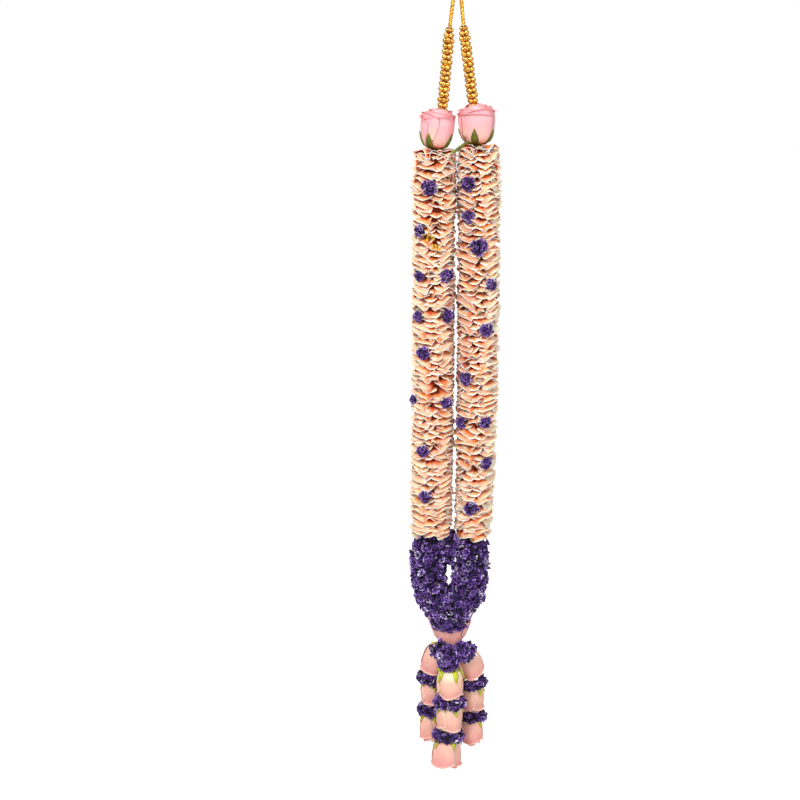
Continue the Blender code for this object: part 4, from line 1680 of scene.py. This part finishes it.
@dataclass
class PetalStrand:
    """One strand: folded petals threaded close round a hidden string, with statice heads between them."""

    finishes: Finishes
    florets: FloretBox
    side: Side
    line: tuple[tuple[float, float], ...]
    sprigs: tuple[Sprig, ...]
    seed: int
    # How much painted light the petals that face outward get.
    pale: float
    # How much painted shade the petals towards the other strand get, and those at the seam.
    tan: float
    seam_shaded: float
    rows: int = 70
    root_radius: float = 0.0070
    top_radius: float = 0.0278
    bottom_radius: float = 0.0262
    radius_by_head: float = 0.0225
    radius_under_head: float = 0.0165
    ruff: tuple[tuple[float, float], ...] = ((0.0012, 0.03), (0.0024, 0.015))
    petal_wall: float = 0.00045
    petal_rim: float = 0.0013
    # How far in from the tip the tone reaches its deepest, painted shade.
    fold_depth: float = 0.0115
    seam_width: float = 0.55
    end_seam_width: float = 0.85
    end_from: float = 0.94
    inner_round: int = 7
    core_radius: float = 0.0125
    string_radius: float = 0.0012
    stalk_radius: float = 0.0011
    middle_x: float = 0.0012
    gap_top: float = 0.0004
    gap_below: float = 0.0020
    gap_from: float = -0.3050
    sprig_reach: float = 0.0280
    head_florets: int = 18
    last_row: float = -0.6995

    @property
    def name(self) -> str:
        """The CAD node that the petals stand for."""
        return f"petal_strand_{self.side.name.lower()}"

    @property
    def sprigs_name(self) -> str:
        """The start of the names of the heads' pieces."""
        return f"sprigs_{self.side.name.lower()}"

    @property
    def top(self) -> float:
        """The Z of the strand's upper end."""
        return self.line[0][1]

    def centre(self, height: float) -> Vector:
        """Read the strand's middle at a height.

        Args:
            height: The Z of the place.

        Returns:
            The place on the strand's middle line.
        """
        sides, heights = zip(*self.line, strict=True)
        index, share = stretch_at(heights, height)
        return Vector((sides[index] + (sides[index + 1] - sides[index]) * share, 0.0, height))

    def middle_line(self, start: float, drop: float, steps: int) -> list[Vector]:
        """Read evenly spaced points of the strand's middle, from a height and over a drop."""
        return [self.centre(start + drop * step / steps) for step in range(steps + 1)]

    def room(self, height: float) -> float:
        """Say how far the petals may reach towards the other strand at a height."""
        gap = self.gap_top if height > self.gap_from else self.gap_below
        return abs(self.middle_x - self.centre(height).x) - gap

    def head_centre(self, sprig: Sprig, out: float) -> Vector:
        """Give the place of a statice head, or of a point out metres from the strand's middle."""
        return self.centre(-sprig.depth) + sprig.facing() * out

    def build(self) -> None:
        """Model the petals, the core (a tube of painted shadow), the heads and the string."""
        dice = random.Random(self.seed)
        self.make_outer(dice)
        self.make_inner(dice)
        line = self.middle_line(self.top - 0.004, self.last_row + 0.002 - self.top, 40)
        # The core is a brown tube of painted shadow that fills the dark gaps deep in the strand.
        core = wound_tube(f"{self.name}_core", line, self.core_radius, 4)
        settle(core, Slot.PEACH_PETAL, material=self.finishes.petal_core)
        self.make_heads()
        line = self.middle_line(self.top + 0.002, self.line[-1][1] - 0.002 - self.top, 30)
        string = wound_tube(f"{self.sprigs_name}_string", line, self.string_radius)
        settle(string, Slot.STATICE, material=self.finishes.thread)

    def make_outer(self, dice: random.Random) -> None:
        """Model the folded petals: a ruff at the top, then rows in columns, with seams in front and behind.

        Args:
            dice: The seeded source of chance.
        """
        masters = []
        for index, shape in enumerate(FOLDED_PETALS):
            sheet = shaped_sheet(f"folded_{index}", 13, 6, shape.surface, self.petal_rim, self.fold_depth)
            masters.append(thicken(sheet, self.finishes.peach, self.petal_wall))
        petals = [
            self.place_petal(masters, turn * 0.898 + dice.uniform(-0.2, 0.2), self.top - drop, -lift, dice)
            for drop, lift in self.ruff
            for turn in range(7)
        ]
        for row in range(self.rows):
            share = row / (self.rows - 1)
            height = self.top - 0.0006 + (self.last_row - self.top) * share
            wander = 0.16 * math.sin(height * 31.0 + self.side.value)
            for index, column in enumerate(COLUMNS):
                angle = math.radians(column) + wander + dice.uniform(-0.14, 0.14)
                drop = dice.uniform(-0.0012, 0.0012) - 0.0036 * (index % 2)
                petals.append(self.place_petal(masters, angle, height + drop, share, dice))
            at_end = share > self.end_from
            if row % 2 == 0 or at_end:
                width = self.end_seam_width if at_end else self.seam_width
                for turn in (0.0, math.pi) if at_end else (math.pi * (row % 4 == 2),):
                    angle = wander + turn + dice.uniform(-0.30, 0.30)
                    petals.append(self.place_petal(masters, angle, height, share, dice, width))
        discard(masters)
        settle(join(f"{self.name}_petals", petals), Slot.PEACH_PETAL, self.name)

    def place_petal(
        self,
        masters: Sequence[Object],
        angle: float,
        height: float,
        share: float,
        dice: random.Random,
        width: float = 1.0,
    ) -> Object:
        """Copy one petal to its place in the strand, shorter where a statice head lies over it.

        Args:
            masters: The folded petals.
            angle: Radians from the front towards +X.
            height: The Z of its root.
            share: 0 at the strand's top and 1 at its bottom.
            dice: The seeded source of chance.
            width: Its width as a share of the usual one.

        Returns:
            The copy.
        """
        out = outward(angle)
        centre = self.centre(height)
        radius = self.top_radius + (self.bottom_radius - self.top_radius) * share
        radius += dice.uniform(-0.0012, 0.0010)
        inward = -self.side.value * math.sin(angle)
        if inward > 0.15:
            room = self.room(height) + dice.uniform(-0.0004, 0.0012)
            radius = min(radius, (room - 0.0055 * abs(math.cos(angle))) / inward)
        pitch = dice.uniform(-8.0, 10.0)
        if share > 0.965:
            pitch += 10.0 + 6.0 * max(0.0, math.cos(angle))
        if share < 0.08:
            pitch -= 18.0 * (1.0 - share / 0.08)
            radius -= 0.0030 * (1.0 - share / 0.08)
        tip = centre + out * radius + Vector((0.0, 0.0, -0.005))
        along = Vector((math.cos(angle), math.sin(angle), 0.0))
        for sprig in self.sprigs:
            gap = tip - self.head_centre(sprig, self.sprig_reach)
            gap -= sprig.facing() * gap.dot(sprig.facing())
            nearest = min((gap + along * side).length for side in (-0.007, 0.0, 0.007))
            if nearest < sprig.size * 0.62:
                radius = min(radius, self.radius_under_head)
            elif nearest < sprig.size * 0.95:
                radius = min(radius, self.radius_by_head)
        choice = dice.randrange(len(masters))
        length = (radius - self.root_radius) / FOLDED_PETALS[choice].middle(0.94)[0]
        place = frame_at(centre + out * self.root_radius, out, UP)
        place = place @ spinning("Z", dice.uniform(-10.0, 10.0))
        place = place @ spinning("Y", dice.uniform(-12.0, 12.0))
        place = place @ spinning("X", -pitch)
        place = place @ Matrix.Diagonal((width * dice.uniform(0.90, 1.10), length, width**0.3, 1.0))
        # Painted light: petals that face outward get the pale cream tone, as if lit from the side.
        outer = self.side.value * math.sin(angle)
        # Painted shade: petals that face the other strand get the darker brown tone, most at the seam, where
        # that strand shades them.
        tan = self.tan if inward < 0.92 else self.seam_shaded
        marks = {
            "blush": dice.uniform(-1.0, 1.0),
            "pale": max(0.0, min(self.pale, (outer - 0.84) / 0.14)),
            "tan": tan * max(0.0, min(1.0, (inward - 0.45) / 0.35)),
        }
        petal = stamp(masters[choice], place, marks)
        # Painted light and shade: upward faces lighter, downward faces darker.
        shade_by_slope(petal.data, 0.34)
        return petal

    def make_inner(self, dice: random.Random) -> None:
        """Model the short petals between the core and the others, which close the gaps; their dark tone is
        painted shade.

        Args:
            dice: The seeded source of chance.
        """
        sheet = shaped_sheet("inner", 5, 3, INNER_PETAL.surface, 0.0006, 0.0240)
        master = thicken(sheet, self.finishes.peach, self.petal_wall)
        petals = []
        for row in range(self.rows):
            height = self.top - 0.002 + (self.last_row + 0.001 - self.top) * row / (self.rows - 1)
            for index in range(self.inner_round):
                angle = (index + 0.5 * (row % 2)) * math.tau / self.inner_round + dice.uniform(-0.3, 0.3)
                out = outward(angle)
                root = self.centre(height + dice.uniform(-0.002, 0.002)) + out * self.root_radius
                place = frame_at(root, out, UP) @ spinning("Y", dice.uniform(-18.0, 18.0))
                # Painted shade: blush drawn mostly below 0 darkens these petals.
                petals.append(stamp(master, place, {"blush": dice.uniform(-0.9, 0.1)}))
            out = outward(-self.side.value * math.pi / 2.0 + dice.uniform(-0.35, 0.35))
            root = self.centre(height + 0.004) + out * self.root_radius
            reach = (self.room(height) - 0.0074) / INNER_PETAL.middle(1.0)[0]
            place = frame_at(root, out, UP) @ spinning("Y", dice.uniform(-10.0, 30.0))
            place = place @ Matrix.Diagonal((1.3, reach, 1.0, 1.0))
            # Painted shade on the inner petal that faces the other strand.
            petals.append(stamp(master, place, {"blush": dice.uniform(-0.4, 0.5), "tan": 0.6}))
        discard([master])
        settle(join(f"{self.name}_inner", petals), Slot.PEACH_PETAL)

    def make_heads(self) -> None:
        """Model the statice heads: a dome of florets over a near-black body that paints the shadow between
        them.
        """
        dice = random.Random(70 + self.side.value)
        copies, bodies = [], []
        for sprig in self.sprigs:
            out = sprig.facing()
            spot = self.head_centre(sprig, self.sprig_reach - 0.55 * sprig.size)
            bodies.append(self.make_body(spot, out, sprig.size))
            base = stand_at(Vector(), out, 0.0).to_3x3()
            for index in range(self.head_florets):
                turn = index * GOLDEN_ANGLE + dice.uniform(-0.2, 0.2)
                polar = math.acos(1.0 - (index + 0.5) / self.head_florets * 0.95)
                ring = Vector((math.sin(polar) * math.cos(turn), math.sin(polar) * math.sin(turn), 0.0))
                away = base @ (ring + UP * math.cos(polar))
                flat = base @ (ring * 0.62 + UP * (math.cos(polar) * 0.30))
                size = (0.0036 + 0.28 * sprig.size) * dice.uniform(0.85, 1.2)
                copies.append(self.florets.floret(spot + flat * sprig.size, away, size, dice))
        settle(join(f"{self.sprigs_name}_florets", copies), Slot.STATICE)
        body = join(f"{self.sprigs_name}_bodies", bodies)
        node = f"sprig_string_{self.side.name.lower()}"
        settle(body, Slot.STATICE, node, material=self.finishes.statice_core)

    def make_body(self, spot: Vector, out: Vector, size: float) -> Object:
        """Model the near-black body of a statice head, painted shadow between its florets, and the stalk
        that holds it.

        Args:
            spot: The middle of the head.
            out: Where it faces.
            size: The head's size.

        Returns:
            The body.
        """
        body = add_primitive(bpy.ops.mesh.primitive_ico_sphere_add, subdivisions=2, radius=1.0)
        place = stand_at(spot, out, 0.0) @ Matrix.Diagonal((size * 0.74, size * 0.74, size * 0.40, 1.0))
        body.data.transform(place)
        bpy.ops.object.shade_smooth()
        foot = spot - out * (self.sprig_reach - 0.012 - 0.5 * size)
        return join("sprig_body", [body, wound_tube("stalk", [spot, foot], self.stalk_radius, 1)])


# The statice loop, the rings and the tufts


@dataclass
class StaticeForm:
    """A body covered in statice florets, on the CAD node's own surface and on cushions beside it."""

    finishes: Finishes
    florets: FloretBox
    node: str
    sink: float
    spacing: float
    floret: float
    seed: int
    bore: float = 0.0
    cushions: tuple[tuple[Place, Place], ...] = ()

    def wanted(self) -> Callable[[Vector, Vector], bool]:
        """Say which spots of the surface are outside, for a ring that has a bore.

        Returns:
            The test of a place and a normal.
        """
        low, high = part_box(self.node)
        middle = (low + high) / 2.0

        def keep(spot: Vector, normal: Vector) -> bool:
            """Keep a spot that lies far enough from the bore and faces away from it."""
            away = Vector((spot.x - middle.x, spot.y - middle.y))
            facing = Vector((normal.x, normal.y)).dot(away)
            return self.bore == 0.0 or (away.length > self.bore and facing > -0.004)

        return keep

    @staticmethod
    def make_cushion(centre: Place, radii: Place) -> Object:
        """Model one soft bulge of the body.

        Args:
            centre: Its middle.
            radii: Its half sizes on X, Y and Z.

        Returns:
            The bulge.
        """
        cushion = add_primitive(bpy.ops.mesh.primitive_ico_sphere_add, subdivisions=3, radius=1.0)
        cushion.data.transform(Matrix.Translation(centre) @ Matrix.Diagonal((*radii, 1.0)))
        return cushion

    def build(self) -> None:
        """Model the near-black body, painted shadow between the florets, and the florets."""
        dice = random.Random(self.seed)
        bulges = [self.make_cushion(centre, radii) for centre, radii in self.cushions]
        skin = join("skin", [cad_copy(self.node, "skin", self.sink), *bulges])
        copies = []
        for spot, normal in spots_on(skin.data, self.spacing, dice, self.wanted()):
            up = (normal + scatter(dice, 1.0, 1.0, 1.0) * 0.75).normalized()
            size = self.floret * dice.uniform(0.75, 1.25)
            copies.append(self.florets.floret(spot - normal * size * 0.06, up, size, dice))
        settle(join(f"{self.node}_florets", copies), Slot.STATICE)
        skin.name = f"{self.node}_body"
        settle(skin, Slot.STATICE, self.node, material=self.finishes.statice_core)


# The tie band


@dataclass(frozen=True)
class BandPetal:
    """One petal of the tie band: its angles from the front, its depths and how far it stands off."""

    first: float
    last: float
    top: float
    bottom: float
    tip: float
    off_first: float
    off_last: float
    flare: float = 0.0


@dataclass
class TieBand:
    """Blush petals wrapped round the foot of the loop, which hide the knot."""

    finishes: Finishes
    centre_x: float = -0.0040
    rim_width: float = 0.0030
    tone: float = 0.80
    rings: tuple[tuple[float, float, float], ...] = (
        (0.815, 0.0275, 0.0268),
        (0.822, 0.0268, 0.0264),
        (0.829, 0.0248, 0.0250),
        (0.836, 0.0222, 0.0232),
        (0.847, 0.0178, 0.0190),
        (0.856, 0.0125, 0.0140),
        (0.861, 0.0095, 0.0110),
    )
    petals: tuple[BandPetal, ...] = (
        BandPetal(130.0, 260.0, 0.820, 0.853, 0.002, 0.0002, 0.0010),
        BandPetal(225.0, 300.0, 0.8150, 0.846, 0.003, 0.0008, 0.0014, 0.0004),
        BandPetal(70.0, 160.0, 0.821, 0.848, 0.003, 0.0010, 0.0004, 0.0002),
        BandPetal(-88.0, 36.0, 0.828, 0.8520, 0.003, 0.0002, 0.0008, -0.0010),
        BandPetal(-16.0, 84.0, 0.826, 0.8540, 0.003, 0.0016, 0.0008, -0.0010),
        BandPetal(40.0, 104.0, 0.8255, 0.8440, 0.002, 0.0026, 0.0012, 0.0002),
    )

    def reach_at(self, depth: float) -> tuple[float, float]:
        """Read the band's two half sizes at a depth below the mount.

        Args:
            depth: The depth in metres.

        Returns:
            The half sizes on X and on Y.
        """
        index, share = stretch_at([ring[0] for ring in self.rings], depth)
        one, two = self.rings[index], self.rings[index + 1]
        return one[1] + (two[1] - one[1]) * share, one[2] + (two[2] - one[2]) * share

    def surface(self, petal: BandPetal, phase: float) -> Surface:
        """Give the surface that one petal follows.

        Args:
            petal: The petal's sizes.
            phase: Where its fold lines start.

        Returns:
            The function from shares across and along to a place.
        """

        def surface(across: float, along: float) -> Vector:
            """Place one point of the petal."""
            share = (across + 1.0) / 2.0
            angle = math.radians(petal.first + (petal.last - petal.first) * share)
            bottom = petal.bottom + petal.tip * (1.0 - abs(across)) - 0.004 * abs(across) ** 3
            depth = petal.top + (bottom - petal.top) * along + 0.002 * across * (1.0 - along)
            wide, deep = self.reach_at(depth)
            off = petal.off_first + (petal.off_last - petal.off_first) * share
            off += petal.flare * (1.0 - along) ** 2
            off += 0.0004 * math.sin(across * 7.0 + along * 4.0 + phase)
            place_x = self.centre_x + (wide + off) * math.sin(angle)
            return Vector((place_x, -(deep + off) * math.cos(angle), -depth))

        return surface

    def build(self) -> None:
        """Model the wrapped petals."""
        dice = random.Random(17)
        sheets = []
        for petal in self.petals:
            sheet = shaped_sheet("band_petal", 14, 9, self.surface(petal, any_turn(dice)), self.rim_width)
            set_same_mark(sheet.data, "blush", dice.uniform(-0.3, 0.5))
            set_same_mark(sheet.data, "tone", self.tone)
            sheets.append(thicken(sheet, self.finishes.blush))
        settle(join("tie_band_petals", sheets), Slot.BLUSH_PETAL, "tie_band")


# Small green and yellow things


@dataclass
class SmallGreens:
    """The bent stem between the top roses, the yellow stamens and the few leaves that show."""

    finishes: Finishes
    stem: tuple[Place, ...] = (
        (-0.0120, -0.0120, -0.2440),
        (-0.0076, -0.0140, -0.2384),
        (-0.0020, -0.0150, -0.2350),
        (0.0050, -0.0140, -0.2300),
        (0.0112, -0.0110, -0.2262),
        (0.0180, -0.0060, -0.2262),
        (0.0236, -0.0015, -0.2290),
    )
    stem_radius: float = 0.0018
    knob_size: float = 0.006
    knob_height: float = 0.0024
    stamen_spots: tuple[Place, ...] = (
        (-0.0315, -0.0262, -0.3360),
        (-0.0235, -0.0272, -0.3470),
    )
    stamens: int = 14
    stamen_root: float = 0.010
    stamen_radius: float = 0.00035
    stamen_head: float = 0.0009
    leaves: tuple[tuple[float, float, float, float], ...] = (
        (-0.0100, -0.0225, -0.8570, 25.0),
        (-0.0135, -0.0235, -0.8770, -30.0),
        (0.0020, -0.0240, -0.8760, 20.0),
    )
    leaf_length: float = 0.011
    leaf_half_width: float = 0.0032

    def build(self) -> None:
        """Model all of them."""
        points = smooth_along([Vector(point) for point in self.stem], 24)
        stem = wound_tube("crossing_stem", points, self.stem_radius, 3)
        texture = bpy.data.textures.new("knobs", "CLOUDS")
        texture.noise_scale = self.knob_size
        apply_modifier(stem, "DISPLACE", texture=texture, strength=self.knob_height, mid_level=0.5)
        settle(stem, Slot.GREEN_SEPAL, material=self.finishes.green)
        self.make_stamens()
        self.make_leaves()

    def make_stamens(self) -> None:
        """Model the two tufts of yellow stamens in the left strand."""
        dice = random.Random(8)
        threads = []
        for spot in self.stamen_spots:
            for _ in range(self.stamens):
                side, rise = dice.uniform(-0.003, 0.003), dice.uniform(-0.002, 0.002)
                foot = Vector(spot) + Vector((side, self.stamen_root, rise))
                tip = Vector(spot) + scatter(dice, 0.006, 0.002, 0.004)
                line = [foot, (foot + tip) / 2, tip]
                ball = bpy.ops.mesh.primitive_ico_sphere_add
                threads.append(wound_tube("stamen", line, self.stamen_radius, 1))
                threads.append(add_primitive(ball, subdivisions=1, radius=self.stamen_head, location=tip))
                bpy.ops.object.transform_apply(location=True)
        settle(join("stamens", threads), Slot.PEACH_PETAL, material=self.finishes.yellow)

    def leaf_surface(self, foot: Vector, turn: float) -> Surface:
        """Give the surface that one leaf follows.

        Args:
            foot: Where it starts.
            turn: How far its tip leans to the right, in radians.

        Returns:
            The function from shares across and along to a place.
        """

        def surface(across: float, along: float) -> Vector:
            """Place one point of the leaf."""
            wide = self.leaf_half_width * math.sin(math.pi * (0.30 + 0.70 * min(along, 0.99)))
            side = across * wide
            down = along * self.leaf_length
            return foot + Vector(
                (
                    side * math.cos(turn) + down * math.sin(turn),
                    -0.002 * math.sin(along * 3.0) + 0.0006 * across * across,
                    side * math.sin(turn) - down * math.cos(turn),
                )
            )

        return surface

    def make_leaves(self) -> None:
        """Model the few green leaves round the collar."""
        leaves = []
        for *foot, lean in self.leaves:
            surface = self.leaf_surface(Vector(foot), math.radians(lean))
            leaves.append(thicken(shaped_sheet("leaf", 4, 7, surface, 0.001), self.finishes.lime))
        settle(join("collar_leaves", leaves), Slot.GREEN_SEPAL)


# The whole garland

LOOP_CUSHIONS = (
    ((-0.0040, -0.0040, -0.8070), (0.0275, 0.0250, 0.0190)),
    ((-0.0048, -0.0080, -0.8210), (0.0225, 0.0225, 0.0140)),
    ((-0.0315, 0.0000, -0.7900), (0.0140, 0.0190, 0.0165)),
    ((0.0235, 0.0000, -0.7900), (0.0140, 0.0190, 0.0165)),
    ((-0.0036, 0.0020, -0.7230), (0.0070, 0.0140, 0.0120)),
    ((-0.0034, 0.0020, -0.7390), (0.0055, 0.0140, 0.0110)),
)
TUFT_CUSHIONS = {
    "front": (
        ((-0.0062, -0.0265, -0.8720), (0.0110, 0.0085, 0.0095)),
        ((-0.0135, -0.0190, -0.8560), (0.0045, 0.0050, 0.0060)),
    ),
    "right": (
        ((0.0110, -0.0150, -0.8630), (0.0085, 0.0085, 0.0100)),
        ((0.0180, -0.0070, -0.8690), (0.0075, 0.0085, 0.0085)),
    ),
    "left": (),
    "back": (),
}
TOP_OUTLINE = ((0.28, 0.0), (0.70, 0.10), (0.91, 0.30), (1.0, 0.60), (0.97, 0.84), (1.02, 0.98))
TASSEL_OUTLINE = ((0.28, 0.0), (0.70, 0.07), (0.91, 0.22), (1.0, 0.48), (0.99, 0.72), (0.90, 1.0))
LEFT_SPRIGS = tuple(
    Sprig(*sizes)
    for sizes in (
        (0.275, -17.0, 0.0100),
        (0.327, -48.0, 0.0075),
        (0.381, -48.0, 0.0070),
        (0.381, 40.0, 0.0090),
        (0.431, -52.0, 0.0065),
        (0.430, 49.0, 0.0100),
        (0.475, -34.0, 0.0090),
        (0.537, -79.0, 0.0070),
        (0.537, 41.0, 0.0070),
        (0.598, -31.0, 0.0080),
        (0.655, -19.0, 0.0085),
        (0.320, 160.0, 0.0080),
        (0.455, -160.0, 0.0085),
        (0.600, 150.0, 0.0080),
    )
)
RIGHT_SPRIGS = tuple(
    Sprig(*sizes)
    for sizes in (
        (0.271, -33.0, 0.0100),
        (0.310, -32.0, 0.0085),
        (0.346, 2.0, 0.0115),
        (0.391, 42.0, 0.0080),
        (0.446, 28.0, 0.0090),
        (0.507, -36.0, 0.0090),
        (0.563, -51.0, 0.0075),
        (0.561, 28.0, 0.0080),
        (0.613, 38.0, 0.0080),
        (0.670, -5.0, 0.0100),
        (0.350, 150.0, 0.0080),
        (0.490, -160.0, 0.0085),
        (0.635, 140.0, 0.0080),
    )
)
TASSEL_ROSES = {
    "left": (
        ((-0.0155, 0.0070, -0.8640), (-0.0268, 0.0130, -0.9000), 0.0164, 0.0),
        ((-0.0246, 0.0140, -0.9085), (-0.0246, 0.0140, -0.9440), 0.0158, 0.0),
        ((-0.0248, 0.0140, -0.9510), (-0.0252, 0.0140, -0.9930), 0.0162, 0.16),
    ),
    "middle": (
        ((-0.0033, -0.0220, -0.8830), (-0.0033, -0.0220, -0.9195), 0.0163, 0.0),
        ((-0.0038, -0.0220, -0.9266), (-0.0045, -0.0220, -0.9645), 0.0160, 0.0),
        ((-0.0055, -0.0220, -0.9715), (-0.0085, -0.0220, -1.0130), 0.0172, 0.52),
    ),
    "right": (
        ((0.0140, 0.0070, -0.8650), (0.0268, 0.0130, -0.9060), 0.0164, 0.0),
        ((0.0250, 0.0140, -0.9160), (0.0245, 0.0140, -0.9525), 0.0160, 0.0),
        ((0.0238, 0.0140, -0.9595), (0.0242, 0.0140, -0.9975), 0.0164, 0.20),
    ),
}


def build_top_roses(finishes: Finishes) -> None:
    """Model the two roses above the strands.

    Args:
        finishes: The garland's materials.
    """
    places = (
        ("left", (-0.0249, -0.2340), (-0.0208, -0.1875), 0.0195, 14.0, (-34.0, -85.0, 60.0, 130.0, 200.0)),
        ("right", (0.0258, -0.2285), (0.0235, -0.1820), 0.0212, -20.0, (-16.0, 62.0, 130.0, 200.0, 265.0)),
    )
    for side, base, mouth, radius, first, sepals in places:
        Rose(
            name=f"top_rose_{side}",
            base=upright(base),
            mouth=upright(mouth),
            radius=radius,
            outline=TOP_OUTLINE,
            finish=finishes.pink,
            slot=Slot.PINK_PETAL,
            green=finishes.green,
            petals=rose_plan(OPEN_LAYERS, first, 4 if side == "left" else 9),
            sepal_angles=sepals,
            seed=2 if side == "left" else 3,
        ).build()


def build_tassel(finishes: Finishes, florets: FloretBox) -> None:
    """Model the tassel's nine roses, its rings and the tufts of its collar.

    Args:
        finishes: The garland's materials.
        florets: The floret masters.
    """
    for column, (strand, roses) in enumerate(TASSEL_ROSES.items()):
        for number, (base, mouth, radius, flare) in enumerate(roses, start=1):
            Rose(
                name=f"tassel_{strand}_rose_{number}",
                base=Vector(base),
                mouth=Vector(mouth),
                radius=radius,
                outline=TASSEL_OUTLINE,
                finish=finishes.blush,
                slot=Slot.BLUSH_PETAL,
                green=finishes.lime,
                petals=rose_plan(BUD_LAYERS, 25.0 + 47.0 * number + 31.0 * column, 20 + 3 * column + number),
                flare=flare,
                sepal_angles=(
                    (140.0, 160.0, 180.0, 200.0, 220.0)
                    if number == 1 and strand != "middle"
                    else (8.0 + 20.0 * column, 95.0, 165.0, 235.0, 300.0)
                ),
                sepal_width=0.0080,
                seed=40 + 3 * column + number,
            ).build()
        for number in (1, 2):
            StaticeForm(
                finishes,
                florets,
                node=f"tassel_{strand}_ring_{number}",
                sink=0.0030,
                spacing=0.0027,
                floret=0.0064,
                seed=90 + 2 * column + number,
                bore=0.0125,
            ).build()
    for index, (place, cushions) in enumerate(TUFT_CUSHIONS.items()):
        StaticeForm(
            finishes,
            florets,
            node=f"collar_tuft_{place}",
            sink=0.0018 if place in ("front", "back") else 0.0045,
            spacing=0.0030,
            floret=0.0074,
            seed=120 + index,
            cushions=cushions,
        ).build()
    dress(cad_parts["tassel_strings"], finishes.thread)


def main() -> None:
    """Build the studio and every piece of the garland, in order."""
    logging.basicConfig(level=logging.INFO, format="%(message)s", stream=sys.stdout)
    Studio().build()
    finishes = Finishes()
    NeckCord(finishes).build()
    BeadRope(finishes, Side.LEFT, (-0.0087, -0.0922), (-0.0173, -0.1917)).build()
    BeadRope(finishes, Side.RIGHT, (0.0073, -0.0900), (0.0202, -0.1861)).build()
    build_top_roses(finishes)
    florets = FloretBox(finishes.statice)
    # The last three numbers of each strand set its painted light on the outer side and its painted shade
    # towards the other strand.
    PetalStrand(
        finishes,
        florets,
        side=Side.LEFT,
        line=((-0.0254, -0.2387), (-0.0262, -0.5400), (-0.0288, -0.7140)),
        sprigs=LEFT_SPRIGS,
        seed=5,
        pale=0.55,
        tan=0.15,
        seam_shaded=0.50,
    ).build()
    PetalStrand(
        finishes,
        florets,
        side=Side.RIGHT,
        line=((0.0263, -0.2332), (0.0269, -0.5320), (0.0215, -0.7220)),
        sprigs=RIGHT_SPRIGS,
        seed=12,
        pale=1.0,
        tan=0.35,
        seam_shaded=0.95,
    ).build()
    StaticeForm(
        finishes,
        florets,
        node="statice_loop",
        sink=0.0036,
        spacing=0.0032,
        floret=0.0082,
        seed=66,
        cushions=LOOP_CUSHIONS,
    ).build()
    TieBand(finishes).build()
    build_tassel(finishes, florets)
    SmallGreens(finishes).build()
    discard(florets.masters)


if __name__ == "__main__":
    main()
